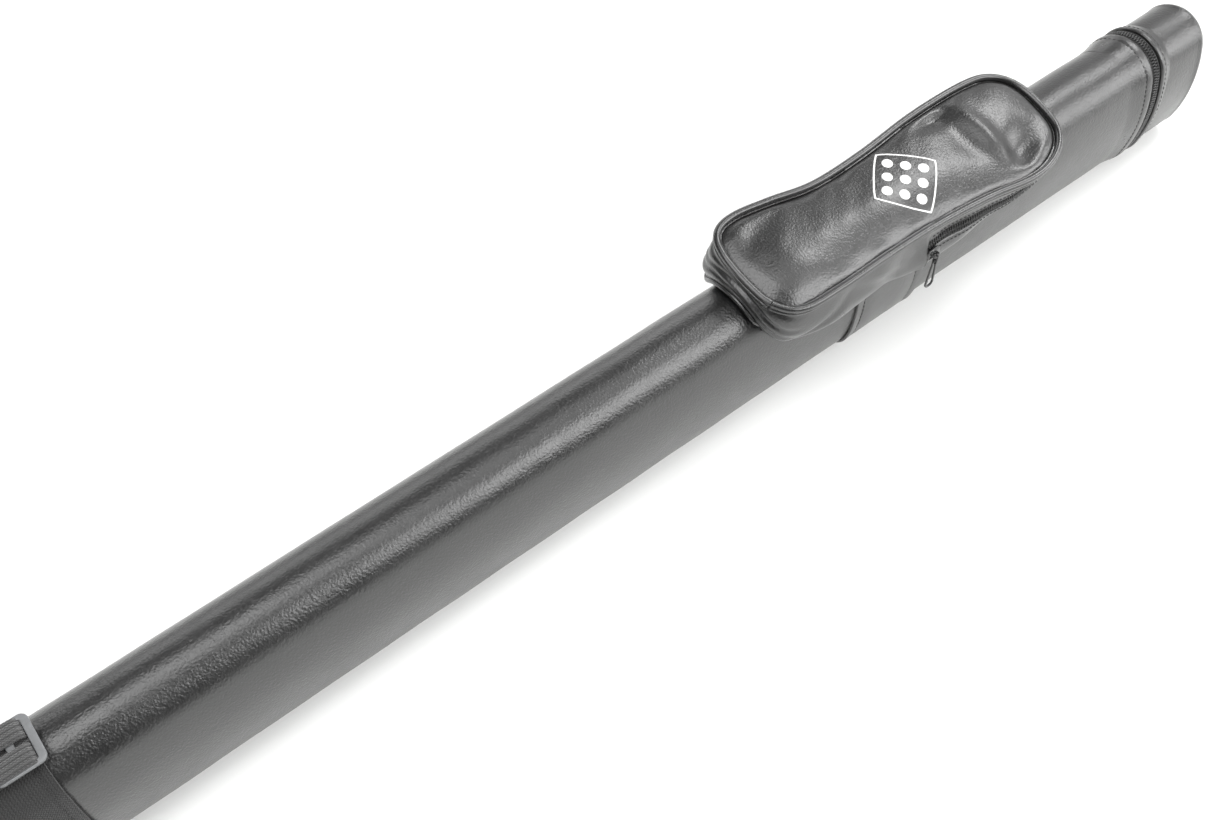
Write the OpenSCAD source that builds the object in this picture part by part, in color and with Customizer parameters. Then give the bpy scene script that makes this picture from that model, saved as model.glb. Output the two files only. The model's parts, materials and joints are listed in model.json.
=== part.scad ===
// Oval two-piece cue case that stands on its narrow edge. +X runs from the closed end to
// the zipped cap, +Z is up, and z = 0 is the plane that the case stands on.
// The origin is the centre of the underside of the belt that holds the pocket.

/* [Case] */
// Length from the closed end to the end of the cap
case_l = 815; // [790:5:900]
// Width of the oval across the case
case_w = 48; // [48:1:52]
// Radius of the oval's narrow edges
edge_r = 21; // [20:0.5:22]
// Half of the oval's height before its foot is flattened
half_h = 41.25; // [40:0.25:44]
// Half of the width of the flattened foot
foot_half = 10; // [9:0.5:11]

/* [Channels] */
// Radius of the butt channel
butt_r = 16.5; // [15:0.5:17]
// Radius of the shaft channel
shaft_r = 14; // [12:0.5:14.5]

/* [Cap] */
// Length of the cap, from the zip to its end
cap_l = 48; // [44:1:60]
// Width of the hem beside the zip
hem_w = 11; // [9:1:13]
// Angle of the cap slider below the middle of the far side
cap_slider_low = 13; // [11:0.5:14]

/* [Pocket] */
// Length of the pocket
pocket_l = 213; // [200:1:220]
// Width of the pocket
pocket_w = 64; // [62:1:68]
// Height of the pocket's panel above the centre of the upper edge
pocket_top = 38; // [36:0.5:40]
// Radius of the pocket's corners
pocket_r = 24; // [20:1:26]
// How far the pocket is turned round the case, towards the front
pocket_tilt = 12; // [0:1:14]
// Height of the pocket's zip along its sides, above the centre of the upper edge
pocket_zip = 17; // [16:0.5:19]
// Height of the pocket's zip where it crosses the ridge at the end
pocket_zip_end = 28; // [28:0.5:30]
// Width of the belt under the pocket
belt_w = 50; // [40:1:60]

/* [Strap] */
// Width of the nylon band near the closed end
band_w = 63; // [50:1:70]
// Width of the webbing
web_w = 20; // [18:1:22]

/* [Hidden] */
$fn = 96;
half_w = case_w / 2;
end_z = half_h - edge_r;
side_r = (end_z * end_z + half_w * half_w - edge_r * edge_r) / (2 * (half_w - edge_r));
side_y = side_r - half_w;
tangent = asin(end_z / (side_r - edge_r));  // angle at which a side arc meets an end arc
side_steps = 12;                    // straight steps in a side arc
end_steps = 24;                     // straight steps in an end arc
ring_t = 1.6;                       // what the bands and hems stand out under the foot
foot_cut = edge_r - sqrt(edge_r * edge_r - foot_half * foot_half);
oval_z = ring_t + half_h - foot_cut;
arc_z = oval_z + end_z;             // centre of the upper edge's arc
ridge_z = arc_z + edge_r;

belt_at = 553;                      // distances from the closed end
band_at = 55;
pocket_at = 563.5;
flap_at = 590;
zip_at = case_l - cap_l;
slider_at = 567;
emblem_at = 566;

cover_t = 1;                        // leatherette
wall_t = 1.5;                       // tube wall
gap = 0.1;                          // between glued layers
shell_off = -cover_t - gap;
bore_off = shell_off - wall_t;
fill_off = bore_off - gap;

coil_w = 1.6;                       // one side's coil
half_gap = 0.2;                     // from the zip's middle to each coil
tape_t = 0.5;
coil_top = 2.1;
hem_gap = 3;                        // from the zip's middle to the hem
hem_top = 2.4;
zip_low = 6;                        // height where the cap's zip ends
hinge_half = 9.5;
hinge_gap = 0.4;                    // from the hinge line to each half of its strip

panel_t = 1.2;
back_r = edge_r + 2;
wall_low = 8;                       // lower edge of the pocket's sides
slot_half = 2.5;                    // from the pocket zip's middle to the gusset's edges
// The zip lies on a cylinder along X that passes both of its heights
zip_drop = (pocket_w * pocket_w / 4 + pocket_zip * pocket_zip - pocket_zip_end * pocket_zip_end)
    / (2 * (pocket_zip_end - pocket_zip));
zip_r = pocket_zip_end + zip_drop;

function at(d) = d - belt_at;
function foot(off) = max(0, ring_t - off);

// ---- outlines and sweeps ----

// Points along an arc about (0, z) or (y, 0), without its last one, where the next arc starts
function arc(y, z, r, from, to, steps) = [
    for (i = [0:steps - 1])
        let (t = from + (to - from) * i / steps) [y + r * cos(t), z + r * sin(t)]
];

// The four-arc oval, grown by off
function oval_points(off) = concat(
    arc(-side_y, 0, side_r + off, -tangent, tangent, side_steps),
    arc(0, end_z, edge_r + off, tangent, 180 - tangent, end_steps),
    arc(side_y, 0, side_r + off, 180 - tangent, 180 + tangent, side_steps),
    arc(0, -end_z, edge_r + off, 180 + tangent, 360 - tangent, end_steps)
);

// The oval with its foot cut flat
module oval(off) {
    intersection() {
        translate([0, oval_z]) polygon(oval_points(off));
        translate([-case_w, foot(off)]) square([2 * case_w, 4 * half_h]);
    }
}

module oval_ring(inner, outer) {
    difference() {
        oval(outer);
        oval(inner);
    }
}

// Extrudes an outline drawn in Y and Z along X
module along_x(x0, x1) {
    translate([x0, 0, 0]) rotate([90, 0, 90]) linear_extrude(x1 - x0) children();
}

// Extrudes an outline drawn in X and Z along Y
module along_y(y0, y1) {
    translate([0, y1, 0]) rotate([90, 0, 0]) linear_extrude(y1 - y0) children();
}

// Leaves out the hinge's stretch at the foot
module above_foot(low) {
    intersection() {
        children();
        translate([-case_l, -case_w, low]) cube([2 * case_l, 2 * case_w, 4 * half_h]);
    }
}

// Bands that wrap the zip: side is 1 on the cap and -1 on the body
module zip_band(side, near, far, inner, outer) {
    x0 = at(zip_at) + side * near;
    x1 = at(zip_at) + side * far;
    along_x(min(x0, x1), max(x0, x1)) oval_ring(inner, outer);
}

// ---- tube ----

module tube_shell() {
    color("dimgray") along_x(at(6), at(zip_at) - 9) oval_ring(bore_off, shell_off);
}

module tube_cover() {
    color([0.06, 0.06, 0.06]) along_x(at(1.3), at(zip_at) - hem_gap) oval_ring(-cover_t, 0);
}

module closed_end_plug() {
    color("tan") along_x(at(1.4), at(13)) oval(fill_off);
}

module closed_end_panel() {
    color([0.06, 0.06, 0.06]) along_x(at(0), at(1.2)) oval(0);
}

module closed_end_binding() {
    color([0.05, 0.05, 0.05]) along_x(at(0), at(11)) oval_ring(gap, ring_t);
}

module closed_end_pad() {
    color("darkred") along_x(at(13.1), at(16)) oval(fill_off);
}

// Foam block with one bore for the butt and one for the shaft
module channel_insert() {
    color("maroon") difference() {
        along_x(at(16.1), at(zip_at) - 15) oval(fill_off);
        translate([at(10), 0, butt_z()]) rotate([0, 90, 0]) cylinder(r = butt_r, h = case_l);
        translate([at(10), 0, shaft_z()]) rotate([0, 90, 0]) cylinder(r = shaft_r, h = case_l);
    }
}

function butt_z() = oval_z - 17;
function shaft_z() = oval_z + 17;

module mouth_rim() {
    color("black") along_x(at(zip_at) - 14.9, at(zip_at) - 9.1) oval_ring(fill_off - 1.4, fill_off);
}

// ---- cap zip, body side ----

module zip_tape(side) {
    above_foot(zip_low - 1) zip_band(side, half_gap, hem_w, gap, gap + tape_t);
}

module zip_coil(side) {
    above_foot(zip_low) zip_band(side, half_gap, half_gap + coil_w, gap + tape_t + gap, coil_top);
}

module hem(side) {
    zip_band(side, hem_gap, hem_gap + hem_w, gap + tape_t + gap, hem_top);
}

// A crimped stop over the end of one coil, on the far side
module zip_stop(side) {
    low = zip_low + 5;
    color("silver") intersection() {
        zip_band(side, half_gap, half_gap + coil_w + 0.3, coil_top + 0.05, coil_top + 0.7);
        translate([-case_l, 0, low]) cube([2 * case_l, case_w, 2.5]);
    }
}

// Half of the leatherette hinge across the foot
module hinge_strip(side) {
    x0 = at(zip_at) + (side > 0 ? hinge_gap : -hem_w);
    translate([x0, -hinge_half, ring_t - gap - tape_t])
        cube([hem_w - hinge_gap, 2 * hinge_half, tape_t]);
}

module zip_tape_body() {
    color([0.1, 0.1, 0.1]) zip_tape(-1);
}

module zip_coil_body() {
    color([0.15, 0.15, 0.15]) zip_coil(-1);
}

module mouth_hem() {
    color([0.05, 0.05, 0.05]) hem(-1);
}

module zip_stop_body() {
    zip_stop(-1);
}

module hinge_strip_body() {
    color([0.08, 0.08, 0.08]) hinge_strip(-1);
}

// ---- cap ----

module cap_shell() {
    color("dimgray") along_x(at(zip_at) + hem_gap, at(case_l) - 4) oval_ring(bore_off, shell_off);
}

module cap_cover() {
    color([0.06, 0.06, 0.06])
        along_x(at(zip_at) + hem_gap, at(case_l) - 3.9) oval_ring(-cover_t, 0);
}

module cap_end_panel() {
    color([0.06, 0.06, 0.06]) union() {
        along_x(at(case_l) - 3.8, at(case_l) - 1.5) oval(0);
        along_x(at(case_l) - 1.5, at(case_l)) oval(-1.5);
    }
}

module cap_liner() {
    color("maroon")
        along_x(at(zip_at) + hem_gap, at(case_l) - 8) oval_ring(fill_off - 1.8, fill_off);
}

module cap_pad() {
    color("darkred") along_x(at(case_l) - 7.9, at(case_l) - 3.9) oval(fill_off);
}

module zip_tape_cap() {
    color([0.1, 0.1, 0.1]) zip_tape(1);
}

module zip_coil_cap() {
    color([0.15, 0.15, 0.15]) zip_coil(1);
}

module cap_hem() {
    color([0.05, 0.05, 0.05]) hem(1);
}

module zip_stop_cap() {
    zip_stop(1);
}

module hinge_strip_cap() {
    color([0.08, 0.08, 0.08]) hinge_strip(1);
}

// ---- cap slider and its pull, on the far side ----

// Places a piece on the far side's arc, with local +Y outward and +Z along the zip
module on_far_arc() {
    translate([at(zip_at), -side_y, oval_z]) rotate([-cap_slider_low, 0, 0])
        translate([0, side_r, 0]) children();
}

module cap_slider() {
    color("dimgray") on_far_arc() union() {
        translate([-4, 2.8, -4.5]) cube([8, 1.2, 9]);
        for (s = [-1, 1]) translate([s * 2.45 - 0.35, 1.0, -3.5]) cube([0.7, 2, 7]);
        for (s = [-1, 1]) translate([s * 1.75 - 0.45, 3.8, -3]) cube([0.9, 2.4, 2.2]);
        translate([-2.2, 5.6, -2.2]) rotate([0, 90, 0]) cylinder(r = 0.6, h = 4.4, $fn = 24);
    }
}

// Hangs upright from the cap slider's bail
module cap_pull() {
    color("silver") on_far_arc() translate([0, 5.6, -2.2]) rotate([cap_slider_low, 0, 0])
        difference() {
            union() {
                translate([-1.1, -1, -9]) cube([2.2, 2, 10]);
                translate([-2.6, -0.7, -11.5]) cube([5.2, 1.4, 8.5]);
            }
            translate([-4, 0, 0]) rotate([0, 90, 0]) cylinder(r = 0.65, h = 8, $fn = 24);
        }
}

// ---- pocket ----

// The pocket's frame: origin on the upper edge's arc centre, turned towards the front
module on_saddle() {
    translate([0, 0, arc_z]) rotate([pocket_tilt, 0, 0]) children();
}

// The pocket's plan, grown by off
module plan(off) {
    l = pocket_l / 2 + off;
    w = pocket_w / 2 + off;
    r = pocket_r + off;
    translate([at(pocket_at), 0]) union() {
        square([2 * l - 2 * r, 2 * w], center = true);
        square([2 * l, 2 * w - 2 * r], center = true);
        for (sx = [-1, 1], sy = [-1, 1]) translate([sx * (l - r), sy * (w - r)]) circle(r);
    }
}

module plan_ring(inner, outer, low, high) {
    translate([0, 0, low]) linear_extrude(high - low) difference() {
        plan(outer);
        plan(inner);
    }
}

// Cylinder along X, with its axis dropped below the upper edge's centre
module tube_core(r, drop = 0) {
    translate([-case_l, 0, -drop]) rotate([0, 90, 0]) cylinder(r = r, h = 2 * case_l);
}

// A ring round the pocket that keeps low to high from the middle of the zip
module zip_layer(inner, outer, low, high) {
    intersection() {
        plan_ring(inner, outer, 0, pocket_top);
        difference() {
            tube_core(zip_r + high, zip_drop);
            tube_core(zip_r + low, zip_drop);
        }
    }
}

// Keeps what lies before the flap's bend
module before_bend() {
    intersection() {
        children();
        translate([at(0), -case_w, -case_w]) cube([flap_at, 2 * case_w, 3 * case_w]);
    }
}

// Keeps what lies beyond the flap's bend
module beyond_bend(shift = 0) {
    intersection() {
        children();
        translate([at(flap_at) + 0.3 + shift, -case_w, -case_w])
            cube([case_l, 2 * case_w, 3 * case_w]);
    }
}

module pocket_belt() {
    color([0.06, 0.06, 0.06]) along_x(at(belt_at) - belt_w / 2, at(belt_at) + belt_w / 2)
        oval_ring(gap, ring_t);
}

module pocket_back() {
    color([0.07, 0.07, 0.07]) on_saddle() intersection() {
        translate([0, 0, wall_low]) linear_extrude(case_w) plan(-panel_t - gap);
        difference() {
            union() {
                tube_core(back_r + 0.8);
                translate([at(0), -case_w, wall_low]) cube([case_l, 2 * case_w, 0.9]);
            }
            tube_core(back_r);
        }
    }
}

module pocket_gusset() {
    color([0.05, 0.05, 0.05]) on_saddle() difference() {
        plan_ring(-panel_t, 0, wall_low, pocket_top);
        tube_core(back_r + 0.9);
        // everything from the zip up, beyond the bend
        beyond_bend(-0.3) difference() {
            translate([at(0), -case_w, 0]) cube([case_l, 2 * case_w, 2 * case_w]);
            tube_core(zip_r - slot_half, zip_drop);
        }
        // slot for the near zip between its garage and the bend
        intersection() {
            translate([at(slider_at) - 7, -case_w, 0]) cube([flap_at - slider_at + 8, case_w, case_w]);
            difference() {
                tube_core(zip_r + slot_half, zip_drop);
                tube_core(zip_r - slot_half, zip_drop);
            }
        }
    }
}

module pocket_panel() {
    color([0.06, 0.06, 0.06]) on_saddle() before_bend()
        translate([0, 0, pocket_top]) linear_extrude(panel_t) plan(0);
}

module piping() {
    plan_ring(gap, 2.4, pocket_top - 1.4, pocket_top + 1.2);
}

module pocket_piping() {
    color([0.04, 0.04, 0.04]) on_saddle() before_bend() piping();
}

// Welt along the seam between the gusset and the back
module pocket_base_piping() {
    color([0.04, 0.04, 0.04]) on_saddle() intersection() {
        plan_ring(gap, 2.2, wall_low, pocket_zip);
        difference() {
            union() {
                tube_core(back_r + 2.7);
                translate([at(0), -case_w, wall_low]) cube([case_l, 2 * case_w, 2.2]);
            }
            tube_core(back_r + 0.9);
        }
    }
}

// Keeps the near side's zip from the garage on, and all of the far end
module zip_stretch() {
    intersection() {
        children();
        union() {
            translate([at(slider_at) - 5, -case_w, 0]) cube([case_l, case_w, 2 * case_w]);
            translate([at(flap_at) + 0.3, -1, 0]) cube([case_l, case_w, 2 * case_w]);
        }
    }
}

// Keeps the near side's zip from the garage to the bend, where its upper half stays put
module closed_stretch() {
    before_bend() intersection() {
        children();
        translate([at(slider_at) - 5, -case_w, 0]) cube([case_l, case_w, 2 * case_w]);
    }
}

module pocket_zip_tape() {
    color([0.1, 0.1, 0.1]) on_saddle() {
        difference() {
            zip_stretch() zip_layer(-panel_t - 0.7, -panel_t - gap, -6, -half_gap);
            tube_core(back_r + 0.9);
        }
        closed_stretch() zip_layer(-panel_t - 0.7, -panel_t - gap, half_gap, 6);
    }
}

module pocket_zip_coil() {
    color([0.15, 0.15, 0.15]) on_saddle() {
        zip_stretch() zip_layer(-panel_t, 0.3, -half_gap - coil_w, -half_gap);
        closed_stretch() zip_layer(-panel_t, 0.3, half_gap, half_gap + coil_w);
    }
}

// Folded tab over the end of the zip
module zip_garage() {
    color([0.05, 0.05, 0.05]) on_saddle()
        translate([at(slider_at) - 12, -pocket_w / 2 - 1.3, pocket_zip - 6.5]) cube([5, 1.2, 14.5]);
}

// ---- pocket flap: what turns up beyond the bend ----

module pocket_flap() {
    color([0.06, 0.06, 0.06]) on_saddle() beyond_bend()
        translate([0, 0, pocket_top]) linear_extrude(panel_t) plan(0);
}

module flap_gusset() {
    color([0.05, 0.05, 0.05]) on_saddle() beyond_bend() difference() {
        plan_ring(-panel_t, 0, wall_low, pocket_top);
        tube_core(zip_r + slot_half, zip_drop);
    }
}

module flap_piping() {
    color([0.04, 0.04, 0.04]) on_saddle() beyond_bend() piping();
}

module flap_zip_tape() {
    color([0.1, 0.1, 0.1]) on_saddle() beyond_bend()
        zip_layer(-panel_t - 0.7, -panel_t - gap, half_gap, 6);
}

module flap_zip_coil() {
    color([0.15, 0.15, 0.15]) on_saddle() beyond_bend()
        zip_layer(-panel_t, 0.3, half_gap, half_gap + coil_w);
}

// ---- pocket slider, its ring and its tab, on the near side ----

// Local origin on the zip's middle line at the slider, with local -Y outward and +Z up the wall
module on_near_zip() {
    on_saddle() translate([at(slider_at), -pocket_w / 2, pocket_zip]) children();
}

module pocket_slider() {
    color([0.12, 0.12, 0.12]) on_near_zip() union() {
        translate([-4.5, -1.9, -4]) cube([9, 1.3, 8]);
        for (s = [-1, 1]) translate([-3.5, -0.7, s * 3.3 - 0.35]) cube([7, 0.65, 0.7]);
        for (s = [-1, 1]) translate([s * 1.9 - 0.4, -4.3, -1]) cube([0.8, 2.6, 2]);
        translate([-2.3, -3.7, 0]) rotate([0, 90, 0]) cylinder(r = 0.6, h = 4.6, $fn = 24);
    }
}

// Hangs from the slider's bail: a plate link with one hole for the bail and one for the tab
module pull_ring() {
    color("silver") on_near_zip() rotate([-pocket_tilt, 0, 0]) translate([0, link_y(), link_z()])
        difference() {
            union() {
                rotate([0, 90, 0]) translate([0, 0, -0.7]) cylinder(r = 1.7, h = 1.4);
                translate([-0.7, -1.7, -5]) cube([1.4, 3.4, 5]);
                translate([0, 0, -5]) rotate([0, 90, 0]) translate([0, 0, -0.7])
                    cylinder(r = 1.7, h = 1.4);
            }
            for (z = [0, -5]) translate([-1, 0, z]) rotate([0, 90, 0])
                cylinder(r = 0.65, h = 2, $fn = 24);
        }
}

// Bail centre in the hanging frame of the ring and the tab
function link_y() = -3.7 * cos(pocket_tilt);
function link_z() = -3.7 * sin(pocket_tilt);

module pull_tab() {
    color("silver") on_near_zip() rotate([-pocket_tilt, 0, 0])
        translate([0, link_y(), link_z() - 5]) union() {
            translate([-2.4, 0, 0]) rotate([0, 90, 0]) cylinder(r = 0.6, h = 4.8, $fn = 24);
            for (s = [-1, 1]) translate([s * 2 - 0.6, -0.6, -4]) cube([1.2, 1.2, 4.4]);
            difference() {
                translate([-3.2, -0.6, -20]) cube([6.4, 1.2, 17]);
                translate([-2, -1, -18.5]) cube([4, 2, 14]);
            }
        }
}

// ---- printed emblem: nine balls racked inside a diamond ----

module emblem() {
    pitch = 10.3;
    half = 22;
    color("white") on_saddle() translate([at(emblem_at), 0, pocket_top + panel_t + 0.05])
        linear_extrude(0.25) rotate(45) union() {
            difference() {
                square(half * sqrt(2), center = true);
                square(half * sqrt(2) - 2.4, center = true);
            }
            for (i = [-1:1], j = [-1:1]) translate([i, j] * pitch * 0.9) circle(3, $fn = 32);
        }
}

// ---- nylon band, webbing and adjuster ----

module nylon_band() {
    color([0.1, 0.1, 0.1])
        along_x(at(band_at) - band_w / 2, at(band_at) + band_w / 2) oval_ring(gap, ring_t);
}

// Doubled webbing on the ridge: the lower run follows the case, the upper one lies on the adjuster
module adjuster_webbing() {
    low = ridge_z + ring_t + 0.2;
    color([0.15, 0.15, 0.15]) union() {
        along_x(at(band_at) - 9, at(band_at) + 34) intersection() {
            oval_ring(ring_t + 0.2, ring_t + 1.4);
            translate([-web_w / 2, arc_z]) square([web_w, 2 * edge_r]);
        }
        along_y(-web_w / 2, web_w / 2) polygon([
            [at(band_at) - 9, low], [at(band_at) - 5, low],
            [at(band_at) + 2, low + 3.4], [at(band_at) + 25, low + 3.4],
            [at(band_at) + 25, low + 4.6], [at(band_at) + 1, low + 4.6],
            [at(band_at) - 6, low + 1.2], [at(band_at) - 9, low + 1.2]]);
    }
}

// Webbing laid round the far shoulder, from the ridge to the far side
module strap_wrap() {
    color([0.15, 0.15, 0.15]) along_x(at(band_at) - 9.2 - web_w, at(band_at) - 9.2)
        intersection() {
            oval_ring(ring_t + 0.2, ring_t + 1.4);
            translate([-web_w / 2, strap_low()]) square([case_w, 2 * half_h]);
        }
}

function strap_low() = oval_z - web_w / 2;

// The strap drawn tight along the far side, from the nylon band to the pocket's belt
module shoulder_strap() {
    color([0.15, 0.15, 0.15])
        translate([at(band_at) - 9, half_w + ring_t + 0.2, strap_low()])
            cube([belt_at - band_at + 9 + belt_w / 2 - 8, 1.3, web_w]);
}

// Adjuster: a frame with two slots either side of its middle bar
module strap_slider() {
    low = ridge_z + ring_t + 1.8;
    color("silver") difference() {
        translate([at(band_at) + 13, -12.5, low]) cube([22, 25, 1.5]);
        for (x = [16.2, 25.2]) translate([at(band_at) + x, -web_w / 2 - 0.3, low - 1])
            cube([6.4, web_w + 0.6, 4]);
    }
}

tube_shell();
tube_cover();
closed_end_plug();
closed_end_panel();
closed_end_binding();
closed_end_pad();
channel_insert();
mouth_rim();
zip_tape_body();
zip_coil_body();
mouth_hem();
zip_stop_body();
hinge_strip_body();
cap_shell();
cap_cover();
cap_end_panel();
cap_liner();
cap_pad();
zip_tape_cap();
zip_coil_cap();
cap_hem();
zip_stop_cap();
hinge_strip_cap();
cap_slider();
cap_pull();
pocket_belt();
pocket_back();
pocket_gusset();
pocket_panel();
pocket_piping();
pocket_base_piping();
pocket_zip_tape();
pocket_zip_coil();
zip_garage();
pocket_flap();
flap_gusset();
flap_piping();
flap_zip_tape();
flap_zip_coil();
pocket_slider();
pull_ring();
pull_tab();
emblem();
nylon_band();
adjuster_webbing();
strap_wrap();
shoulder_strap();
strap_slider();
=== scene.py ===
"""Looks of an oval cue case with a zipped cap, a soft pocket and a shoulder strap.

Everything is in metres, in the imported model's frame: +X from the closed end to the cap, +Z up.
"""

import json
import math

import bmesh
import bpy
import numpy as np
from mathutils import Matrix, Vector
from mathutils.bvhtree import BVHTree


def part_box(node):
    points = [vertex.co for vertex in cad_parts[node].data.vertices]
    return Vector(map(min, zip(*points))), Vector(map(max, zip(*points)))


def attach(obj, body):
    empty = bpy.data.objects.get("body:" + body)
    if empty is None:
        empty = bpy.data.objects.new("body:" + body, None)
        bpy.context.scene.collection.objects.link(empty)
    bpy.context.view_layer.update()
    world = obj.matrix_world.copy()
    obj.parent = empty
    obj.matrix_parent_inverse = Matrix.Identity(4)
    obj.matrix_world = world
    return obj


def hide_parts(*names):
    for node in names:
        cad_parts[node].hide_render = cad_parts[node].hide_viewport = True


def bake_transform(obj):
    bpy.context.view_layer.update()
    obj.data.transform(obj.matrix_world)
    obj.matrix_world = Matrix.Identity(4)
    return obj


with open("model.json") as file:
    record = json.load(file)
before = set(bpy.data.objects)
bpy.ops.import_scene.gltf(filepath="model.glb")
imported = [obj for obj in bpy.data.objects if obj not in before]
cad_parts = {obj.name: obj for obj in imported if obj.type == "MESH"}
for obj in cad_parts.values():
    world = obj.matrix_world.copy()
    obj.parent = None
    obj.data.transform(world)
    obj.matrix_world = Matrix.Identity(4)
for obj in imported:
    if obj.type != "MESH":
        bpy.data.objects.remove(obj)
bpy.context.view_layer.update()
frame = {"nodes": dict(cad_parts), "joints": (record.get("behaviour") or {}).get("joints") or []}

MM = 0.001
TAU = 2 * math.pi
EX, EY, EZ = np.eye(3)

# ---------------------------------------------------------------- the case's oval

SKIN_LOW, SKIN_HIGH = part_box("tube_cover")
X_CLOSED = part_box("closed_end_panel")[0].x
X_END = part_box("cap_end_panel")[1].x
X_ZIP = (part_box("zip_coil_body")[1].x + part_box("zip_coil_cap")[0].x) / 2
HALF_W = SKIN_HIGH.y
EDGE_R = 21 * MM
HALF_H = 41.25 * MM
OVAL_Z = SKIN_HIGH.z - HALF_H
END_Z = HALF_H - EDGE_R
SIDE_R = (END_Z**2 + HALF_W**2 - EDGE_R**2) / (2 * (HALF_W - EDGE_R))
SIDE_Y = SIDE_R - HALF_W
SIDE_SIN = END_Z / (SIDE_R - EDGE_R)  # sine of the angle where a side arc meets an end arc
BAND_T = 1.6 * MM  # what bands and hems stand out under the foot
FLAT_FOOT = SKIN_LOW.z


def running(steps):
    """Running totals that start at 0."""
    return np.concatenate([[0], np.cumsum(steps)])


NORMALS = np.radians(np.linspace(270, -90, 7201))  # from the foot up the near side and down the far one
BETWEEN = (NORMALS[1:] + NORMALS[:-1]) / 2
RUN = np.abs(np.diff(NORMALS)) * np.where(np.abs(np.sin(BETWEEN)) < SIDE_SIN, SIDE_R, EDGE_R)
RUN = running(RUN)
GIRTH = RUN[-1]


def normal_angle(s):
    """Angle of the outward normal at share s of the girth: 0 foot, 0.25 near side, 0.5 ridge, 0.75 far."""
    return np.interp(np.mod(s, 1.0) * GIRTH, RUN, NORMALS)


def outward(s):
    """Outward unit normals of the oval."""
    a = normal_angle(np.asarray(s, float))
    return np.stack([np.zeros_like(a), np.cos(a), np.sin(a)], -1)


def on_oval(x, s, off=0.0):
    """Points at distance off outside the skin."""
    a = normal_angle(s)
    c, n = np.cos(a), np.sin(a)
    side = np.abs(n) < SIDE_SIN
    r = np.where(side, SIDE_R, EDGE_R) + off
    y = np.where(side, -np.sign(c) * SIDE_Y, 0) + r * c
    z = OVAL_Z + np.where(side, 0, np.sign(n) * END_Z) + r * n
    z = np.maximum(z, np.maximum(0, FLAT_FOOT - off))
    return np.stack(np.broadcast_arrays(x, y, z), -1)


def share_at(height, far=False):
    """Share of the girth at which the skin has this height."""
    s = np.linspace(0, 0.5, 600)
    found = float(np.interp(height, on_oval(0, s)[:, 2], s))
    return 1 - found if far else found


def ripple(p, length, seed):
    """Smooth noise between about -1 and 1 with waves of about this length."""
    rng = np.random.default_rng(seed)
    total = np.zeros(np.shape(p)[:-1])
    for _ in range(7):
        k = rng.normal(size=3)
        k *= TAU / length / np.linalg.norm(k) * rng.uniform(0.6, 1.6)
        total += np.sin(p @ k + rng.uniform(0, TAU))
    return total / 3.5


def bump(t, centre, width):
    """A smooth hump of height 1."""
    return np.exp(-(((t - centre) / width) ** 2))


def ramp(t, low, high):
    """0 before low, 1 after high, smooth between."""
    t = np.clip((t - low) / (high - low), 0, 1)
    return t * t * (3 - 2 * t)


# ---------------------------------------------------------------- materials


class Nodes:
    """Short calls for the node tree of a material, or of the world."""

    def __init__(self, name, kind="materials"):
        self.data = getattr(bpy.data, kind).new(name)
        self.data.use_nodes = True
        self.tree = self.data.node_tree
        self.shader = next(n for n in self.tree.nodes if n.type in ("BSDF_PRINCIPLED", "BACKGROUND"))

    def add(self, kind, inputs=(), **settings):
        node = self.tree.nodes.new(kind)
        for key, value in settings.items():
            setattr(node, key, value)
        for key, value in dict(inputs).items():
            if isinstance(value, bpy.types.NodeSocket):
                self.tree.links.new(value, node.inputs[key])
            else:
                node.inputs[key].default_value = value
        return node

    def coords(self, output="Object"):
        """Object gives the row frame's metres, and UV the metres along and across a strip."""
        return self.add("ShaderNodeTexCoord").outputs[output]

    def noise(self, scale, detail=3.0, roughness=0.55, distortion=0.0):
        inputs = {"Vector": self.coords(), "Scale": scale, "Detail": detail, "Roughness": roughness}
        inputs["Distortion"] = distortion
        return self.add("ShaderNodeTexNoise", inputs).outputs["Fac"]

    def math(self, operation, a, b=0.0, c=0.0):
        inputs = {0: a, 1: b, 2: c}
        return self.add("ShaderNodeMath", inputs, operation=operation).outputs[0]

    def remap(self, value, low, high, to_low, to_high):
        inputs = {"Value": value, 1: low, 2: high, 3: to_low, 4: to_high}
        return self.add("ShaderNodeMapRange", inputs).outputs[0]

    def mix(self, share, a, b):
        inputs = {0: share, 6: a, 7: b}
        return self.add("ShaderNodeMix", inputs, data_type="RGBA").outputs[2]

    def bump(self, height, distance, strength=1.0, under=None):
        inputs = {"Height": height, "Distance": distance, "Strength": strength}
        if under is not None:
            inputs["Normal"] = under
        return self.add("ShaderNodeBump", inputs).outputs[0]

    def feed(self, key, value):
        """Links or sets one of the shader's own sockets."""
        if isinstance(value, bpy.types.NodeSocket):
            self.tree.links.new(value, self.shader.inputs[key])
        else:
            self.shader.inputs[key].default_value = value


def grey(level, warm=0.0):
    return (level * (1 + warm), level, level * (1 - warm), 1.0)


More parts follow.
